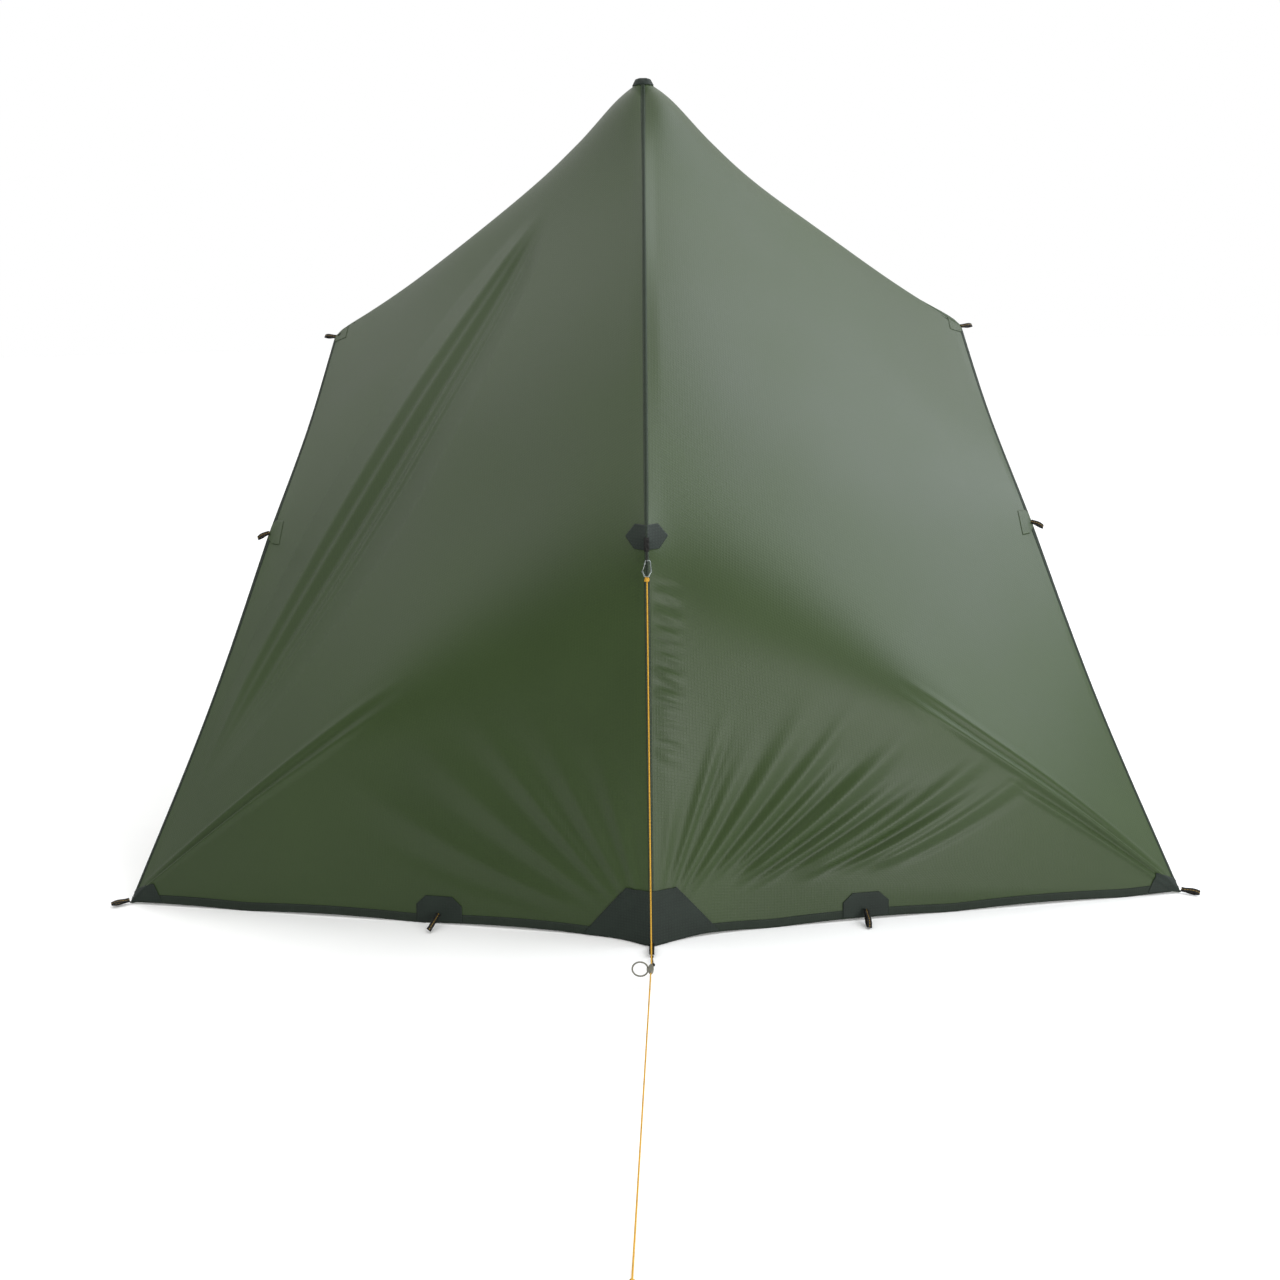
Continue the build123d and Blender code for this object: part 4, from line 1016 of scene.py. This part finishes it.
# ---------------------------------------------------------------- operators
class SHELTER_OT_canopy(bpy.types.Operator):
    """Make both canopy panels, with the tension curves and folds of the pitched cloth"""

    bl_idname = "shelter.canopy"
    bl_label = "Canopy panels"

    def execute(self, context):
        for side, name in ((1, "right_panel"), (-1, "left_panel")):
            rows, normals = build_panel(side)
            SHEETS[side] = (rows, normals)
            piece = mesh_piece("canopy_" + name, rows.reshape(-1, 3), panel_faces(side),
                               panel_uv(rows * (side, 1, 1)))
            activate(piece)
            bpy.ops.object.mode_set(mode="EDIT")
            bpy.ops.mesh.select_all(action="SELECT")
            bpy.ops.mesh.remove_doubles(threshold=1e-5)
            bpy.ops.object.mode_set(mode="OBJECT")
            apply_modifier(piece, "SOLIDIFY", thickness=context.scene.shelter_cloth.cloth, offset=-1.0)
            piece.data.shade_smooth()
            SHEETS[name] = finish_piece(piece, "canopy", material("cloth"), [name])
        if any(len(SHEETS[n].data.polygons) > 99000 for n in ("right_panel", "left_panel")):
            raise RuntimeError("a panel has too many faces")
        return {"FINISHED"}


class SHELTER_OT_tapes(bpy.types.Operator):
    """Sew the bindings over the hems and the tape over the centre seam"""

    bl_idname = "shelter.tapes"
    bl_label = "Seam and hem tapes"

    def execute(self, context):
        for side, label in ((1, "right"), (-1, "left")):
            for which in ("front", "side", "rear"):
                node_name = f"{which}_hem_{label}"
                turn = (side > 0) == (which != "side")
                piece = edge_tape(f"binding_{which}_{label}", *edge_data(side, which), turn,
                                  {"front": 1.15, "side": 0.6, "rear": 0.7}[which])
                SHEETS[node_name] = finish_piece(piece, "canopy", material("binding"),
                                                 [node_name])
        for node_name, rows_range in (("seam_tape_front", slice(1, CONTOUR_ROW - 2)),
                                      ("seam_tape_rear", slice(CONTOUR_ROW + 2, ROWS))):
            piece = seam_strip(node_name.replace("seam_tape", "felled_seam"), rows_range, 0.0007)
            SHEETS[node_name] = finish_piece(piece, "canopy", material("seam"), [node_name])
        return {"FINISHED"}


class SHELTER_OT_patches(bpy.types.Operator):
    """Sew the reinforcement patches on the canopy"""

    bl_idname = "shelter.patches"
    bl_label = "Reinforcement patches"

    def execute(self, context):
        front = (0, 1, 0)
        made = []
        # the lifter patch's dark tone is partly painted shade for the shade that falls below the lifter's crease
        made.append(sewn_patch("patch_lifter", (0, -1.35, 1.101), (0.13, 0.1),
                               [(90, 0.034), (270, 0.030), (40, 0.046), (140, 0.046), (-40, 0.046),
                                (220, 0.046)],
                               front, nodes=["lifter_patch"]))
        made.append(sewn_patch("patch_front_centre", (0, -1.6, 0.062), (0.40, 0.19),
                               [(90, 0.086), (41, 0.110), (139, 0.110), (270, 0.058)], front, 90, lift=0.0026,
                               nodes=["front_centre_patch"]))
        made.append(sewn_patch("patch_rear_centre", (0, 0.60, 2.3), (0.17, 0.17),
                               [(a, 0.070) for a in (30, 90, 150, 210, 270, 330)], (0, 0, -1),
                               nodes=["rear_centre_patch"]))
        made.append(sewn_patch("patch_peak", (0, 0, 2.6), (0.09, 0.09),
                               [(a, 0.036) for a in range(0, 360, 30)], (0, 0, -1), 40, nodes=["peak_patch"]))
        for side, label in ((1, "right"), (-1, "left")):
            made.append(sewn_patch(f"patch_front_loop_{label}", (side * 0.62, -1.5, 0.040), (0.136, 0.080),
                                   cuts_for(side, (90, 0.040), (48, 0.056), (132, 0.056)), front, 30,
                                   nodes=[f"front_loop_patch_{label}"]))
            made.append(sewn_patch(f"patch_front_corner_{label}", (side * 1.55, -1.35, 0.030), (0.13, 0.07),
                                   cuts_for(side, (118, 0.016), (180, 0.055), (24, 0.050)), front, 30,
                                   nodes=[f"front_corner_patch_{label}"]))
            made.append(sewn_patch(f"patch_side_loop_{label}", (side * 1.304, -0.52, 0.995), (0.06, 0.07),
                                   cuts_for(side, (180, 0.02), (130, 0.026), (230, 0.026)), front, 26,
                                   nodes=[f"side_loop_patch_{label}"], finish="cloth", lift=0.0009,
                                   thickness=0.0004))
            made.append(sewn_patch(f"patch_upper_corner_{label}", (side * 1.212, 0.285, 1.635), (0.07, 0.07),
                                   cuts_for(side, (200, 0.020), (150, 0.028), (260, 0.028)), (0, 0.6, -0.8),
                                   30,
                                   nodes=[f"upper_corner_patch_{label}"], finish="cloth", lift=0.0009,
                                   thickness=0.0004))
        SHEETS["patches"] = made
        return {"FINISHED"}


class SHELTER_OT_webbing(bpy.types.Operator):
    """Add the webbing peg and guy loops and the lifter's tab"""

    bl_idname = "shelter.webbing"
    bl_label = "Webbing loops"

    def execute(self, context):
        made = []
        for side, label in ((1, "right"), (-1, "left")):
            mirror = Vector((side, 1, 1))
            # the two hem loops hang unlike each other
            hang = Vector((0.03, -0.86, -0.45)) if side > 0 else Vector((-0.32, -0.78, -0.36))
            table = [
                ("front_corner_loop", Vector((1.590, -1.342, 0.012)) * mirror,
                 Vector((0.88 * side, -0.47, -0.02)),
                 Vector((0, -0.5, 0.8)), 0.050, 0.0, 0.3),
                ("front_hem_loop", Vector((0.620 * side, -1.502, 0.034)), hang,
                 Vector((0.45, -0.35, 0.8)), 0.060, 0.0, 0.2 * side),
                ("side_loop", Vector((1.318 * side, -0.503, 0.995)), Vector((0.93 * side, -0.2, -0.25)),
                 Vector((0, -0.8, 0.5)), 0.040, 0.010, 0.0),
                ("upper_corner_loop", Vector((1.228 * side, 0.297, 1.640)), Vector((0.93 * side, 0.36, 0.05)),
                 Vector((0, -0.8, 0.6)), 0.050, 0.0, 0.0),
            ]
            for node_name, base, pull, normal, length, droop, twist in table:
                made.append(webbing_loop(f"{node_name}_{label}_webbing", base, pull, normal, "canopy",
                                         [f"{node_name}_{label}"], length=length, droop=droop, twist=twist))
        made.append(webbing_loop("rear_centre_webbing", (0, 0.617, 2.190), (0, 1, -0.1), (0, 0, 1), "canopy",
                                 ["rear_centre_loop"], length=0.050))
        made.append(webbing_loop("front_centre_webbing", (0, -1.651, 0.010), (0, -1, 0), (0, 0, 1), "root",
                                 ["front_centre_loop"], length=0.058, gap=0.011))
        made.append(webbing_loop("lifter_tab_webbing", LINE_TOP - PULL * 0.016 + Vector((0, 0.003, 0)), PULL,
                                 PULL.cross(Vector((1, 0, 0))), "canopy", ["lifter_tab"], length=0.038,
                                 gap=0.006,
                                 sewn=0.014, finish="plain_webbing"))
        SHEETS["loops"] = made
        return {"FINISHED"}


class SHELTER_OT_cords(bpy.types.Operator):
    """Run the guyline, its knots and its eye, the cord loop of the lifter and the elastic at the front"""

    bl_idname = "shelter.cords"
    bl_label = "Guyline and cords"

    def execute(self, context):
        side_axis = PULL.cross(Vector((1, 0, 0))).normalized()
        # the loop through the tab's eye
        low, high, gap = 0.053, 0.017, 0.0034
        ring = [LINE_TOP + PULL * d + side_axis * o for d, o in
                ((high, gap), (0.030, gap), (low, gap), (low + 0.001, 0), (low, -gap), (0.030, -gap),
                 (high, -gap),
                 (high - 0.003, 0))]
        loop = to_mesh(curve_line("lifter_loop_cord", ring, 0.003, cyclic=True, resolution=6))
        finish_piece(loop, "canopy", material("black_cord"), ["lifter_cord_loop"])
        knot_centre = LINE_TOP + PULL * 0.1029
        top_knot = wrapped_knot("guyline_knot_top", knot_centre, PULL, 0.0074, 0.004, 3, "root", "guyline",
                                ["guyline_knot"])
        end_centre = LINE_END + GROUND_RUN * 0.0057
        end_centre.z = 0.0062
        flat_run = Vector((GROUND_RUN.x, GROUND_RUN.y, 0)).normalized()
        end_knot = wrapped_knot("guyline_knot_end", end_centre, flat_run, 0.0056, 0.004, 2.5, "root",
                                "guyline",
                                ["guyline_end_knot"])
        beside = Vector((-flat_run.y, flat_run.x, 0))
        eye_start = end_centre + flat_run * 0.0063
        eye_start.z = 0.0026
        eye_points = [eye_start + flat_run * a + beside * b for a, b in
                      ((0, 0.001), (0.022, 0.016), (0.052, 0.013), (0.060, 0), (0.052, -0.013),
                       (0.022, -0.016),
                       (0, -0.001))]
        eye = to_mesh(curve_line("guyline_eye", eye_points, 0.004, resolution=8))
        finish_piece(eye, "root", material("guyline"), ["guyline_end_eye"])
        route = [LINE_START, LINE_BEND - PULL * 0.024, LINE_BEND, LINE_BEND + GROUND_RUN * 0.024, LINE_END]
        line = curve_line("guyline_cord", route, 0.004, resolution=24)
        finish_piece(line, "root", material("guyline"), ["guyline"])
        # the short elastic from the front loop to the mouth of the tensioner
        start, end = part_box("elastic_knot_upper"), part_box("elastic_knot_lower")
        first = (start[0] + start[1]) / 2
        last = (end[0] + end[1]) / 2
        direction = (last - first).normalized()
        upper = wrapped_knot("elastic_bead_upper", first, direction, 0.0046, 0.0032, 2, "root", "black_cord",
                             ["elastic_knot_upper"])
        lower = wrapped_knot("elastic_bead_lower", last, direction, 0.0046, 0.0032, 2, "line_tensioner",
                             "black_cord",
                             ["elastic_knot_lower"])
        run = [first + direction * 0.0044, (first + last) / 2 + Vector((0, 0, -0.002)),
               last - direction * 0.0044]
        elastic = curve_line("elastic_line", run, 0.004, resolution=16)
        path = line_points(elastic)
        elastic = to_mesh(elastic)
        finish_piece(elastic, "elastic", material("black_cord"), ["elastic_cord"])
        # the pull ring of the tensioner
        box_low, box_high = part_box("pull_ring")
        centre = (box_low + box_high) / 2
        normal = GROUND_RUN.cross(Vector((0, 0, 1))).cross(GROUND_RUN)
        radius = (box_high.x - box_low.x) / 2 - 0.002
        one = GROUND_RUN.cross(normal).normalized()
        two = normal.normalized()
        circle = [centre + (one * math.cos(a) + two * math.sin(a)) * radius * 1.02
                  for a in [2 * math.pi * k / 14 for k in range(14)]]
        pull_ring = to_mesh(curve_line("pull_ring_cord", circle, 0.0042, cyclic=True, resolution=6))
        finish_piece(pull_ring, "line_tensioner", material("ring_cord"), ["pull_ring"])
        return {"FINISHED"}


class SHELTER_OT_hardware(bpy.types.Operator):
    """Give the carabiner, the tensioner and the pole their finishes"""

    bl_idname = "shelter.hardware"
    bl_label = "Hardware and pole"

    def execute(self, context):
        finishes = {
            "carabiner_body": "carabiner", "carabiner_gate": "gate", "line_tensioner": "tensioner",
            "pole_lower_tube": "tube", "pole_upper_tube": "inner_tube", "pole_foot": "rubber",
            "pole_foot_plug": "plastic", "pole_guide_plug": "plastic", "pole_cap": "plastic",
            "peak_cup": "plastic", "clamp_collar": "plastic", "clamp_lever": "plastic",
            "clamp_pin": "steel", "clamp_screw": "steel",
        }
        for name, finish in finishes.items():
            node_object = NODES[name]
            node_object.data.materials.clear()
            node_object.data.materials.append(material(finish))
            activate(node_object)
            bpy.ops.object.shade_smooth_by_angle(angle=math.radians(35))
        return {"FINISHED"}


class SHELTER_OT_declare(bpy.types.Operator):
    """Gather what is sewn on each cloth, once it is all made"""

    bl_idname = "shelter.declare"
    bl_label = "Cloth sizes"

    def execute(self, context):
        for side, name in ((1, "right_panel"), (-1, "left_panel")):
            label = name.split("_")[0]
            sewn = [SHEETS[f"{w}_hem_{label}"] for w in ("front", "side", "rear")]
            if side > 0:
                sewn += [SHEETS["seam_tape_front"], SHEETS["seam_tape_rear"]] + SHEETS["patches"] + SHEETS["loops"]
        return {"FINISHED"}


class SHELTER_OT_stage(bpy.types.Operator):
    """Lay a pale floor and set the soft studio light and the camera"""

    bl_idname = "shelter.stage"
    bl_label = "Stage"

    def execute(self, context):
        deselect()
        bpy.ops.mesh.primitive_circle_add(vertices=96, radius=60, fill_type="NGON", location=(0, 0, -0.0005))
        floor = bpy.context.active_object
        floor.name = "stage_floor"
        place(floor)
        floor_material, tree, shader, coords = new_material("pale_studio_floor")
        grain = add_node(tree, "ShaderNodeTexNoise", {"Vector": coords["Object"], "Scale": 2.0,
                                                      "Detail": 2.0})
        tree.links.new(ramp(tree, grain.outputs["Fac"], [(0.3, linear("#f6f6f5")), (0.7, linear("#fafaf9"))]),
                       shader.inputs["Base Color"])
        shader.inputs["Roughness"].default_value = 0.95
        shader.inputs["Specular IOR Level"].default_value = 0.0
        floor.data.materials.append(floor_material)

        world = bpy.data.worlds.new("studio")
        context.scene.world = world
        world.use_nodes = True
        sky = world.node_tree
        background = sky.nodes["Background"]
        upward = add_node(sky, "ShaderNodeSeparateXYZ",
                          {"Vector": sky.nodes.new("ShaderNodeTexCoord").outputs["Generated"]})
        # the studio's ceiling is bright behind the shelter, more so on the right, and dim in front
        across = add_node(sky, "ShaderNodeMapRange", {"Value": upward.outputs["X"], "From Min": -0.8,
                                                      "From Max": 0.8,
                                                      "To Min": 1.75, "To Max": 2.05})
        overhead = add_node(sky, "ShaderNodeMapRange", {"Value": upward.outputs["Z"], "From Min": 0.28,
                                                        "From Max": 0.70})
        behind = add_node(sky, "ShaderNodeMapRange", {"Value": upward.outputs["Y"], "From Min": -0.62,
                                                      "From Max": 0.02, "To Min": 0.26, "To Max": 1.0})
        ceiling = add_node(sky, "ShaderNodeMath", {0: across.outputs["Result"], 1: behind.outputs["Result"]},
                           operation="MULTIPLY")
        light = add_node(sky, "ShaderNodeMix", {"Factor": overhead.outputs["Result"], "A": 0.42,
                                                "B": ceiling.outputs[0]}, data_type="FLOAT")
        # the backdrop itself is an even white
        seen = sky.nodes.new("ShaderNodeLightPath").outputs["Is Camera Ray"]
        glow = add_node(sky, "ShaderNodeMix", {"Factor": seen, "A": light.outputs["Result"], "B": 1.0},
                        data_type="FLOAT")
        background.inputs["Color"].default_value = linear("#ffffff")
        sky.links.new(glow.outputs["Result"], background.inputs["Strength"])
        context.scene.view_settings.view_transform = "Standard"

        def softbox(name, place_at, aim, size, energy, colour="#ffffff"):
            data = bpy.data.lights.new(name, "AREA")
            data.shape = "RECTANGLE"
            data.size, data.size_y = size
            data.energy = energy
            data.color = linear(colour)[:3]
            lamp = bpy.data.objects.new(name, data)
            lamp.location = place_at
            lamp.rotation_euler = (Vector(aim) - Vector(place_at)).to_track_quat("-Z", "Y").to_euler()
            context.scene.collection.objects.link(lamp)

        softbox("key_softbox", (4.9, 0.2, 4.7), (0.7, -0.8, 1.3), (4.6, 4.6), 190, "#eef5ff")
        softbox("fill_softbox", (3.6, -6.4, 1.6), (0.5, -1.4, 0.4), (2.6, 2.2), 165)

        data = bpy.data.cameras.new("camera")
        data.sensor_width = 36
        data.lens = 36.5625
        camera = bpy.data.objects.new("camera", data)
        yaw, pitch, roll = math.radians(0.906), math.radians(-14.38), math.radians(0.99)
        turn = Matrix.Rotation(yaw, 3, "Z") @ Matrix.Rotation(pitch, 3, "X") @ Matrix.Rotation(roll, 3, "Y")
        right, forward, up = turn.col[0], turn.col[1], turn.col[2]
        look = Matrix((right, up, -forward)).transposed()
        camera.matrix_world = Matrix.Translation((0.0338, -4.9584, 1.7345)) @ look.to_4x4()
        context.scene.collection.objects.link(camera)
        context.scene.camera = camera
        return {"FINISHED"}


STEPS = (SHELTER_OT_stage, SHELTER_OT_canopy, SHELTER_OT_tapes, SHELTER_OT_patches, SHELTER_OT_webbing,
         SHELTER_OT_cords, SHELTER_OT_hardware, SHELTER_OT_declare)


class SHELTER_PT_panel(bpy.types.Panel):
    """Lists the sizes, the colours and the steps"""

    bl_idname = "SHELTER_PT_panel"
    bl_label = "Tarp shelter"
    bl_space_type = "VIEW_3D"
    bl_region_type = "UI"
    bl_category = "Tarp shelter"

    def draw(self, context):
        for group in (context.scene.shelter_cloth, context.scene.shelter_colours):
            for name in group.__annotations__:
                self.layout.prop(group, name)
        for step in STEPS:
            self.layout.operator(step.bl_idname)


CLASSES = (ShelterCloth, ShelterColours) + STEPS + (SHELTER_PT_panel,)


def register():
    for made in CLASSES:
        bpy.utils.register_class(made)
    bpy.types.Scene.shelter_cloth = bpy.props.PointerProperty(type=ShelterCloth)
    bpy.types.Scene.shelter_colours = bpy.props.PointerProperty(type=ShelterColours)


def unregister():
    del bpy.types.Scene.shelter_cloth
    del bpy.types.Scene.shelter_colours
    for made in reversed(CLASSES):
        bpy.utils.unregister_class(made)


def main():
    """Build the whole shelter."""
    register()
    for step in STEPS:
        group, name = step.bl_idname.split(".")
        getattr(getattr(bpy.ops, group), name)()


if __name__ == "__main__":
    main()
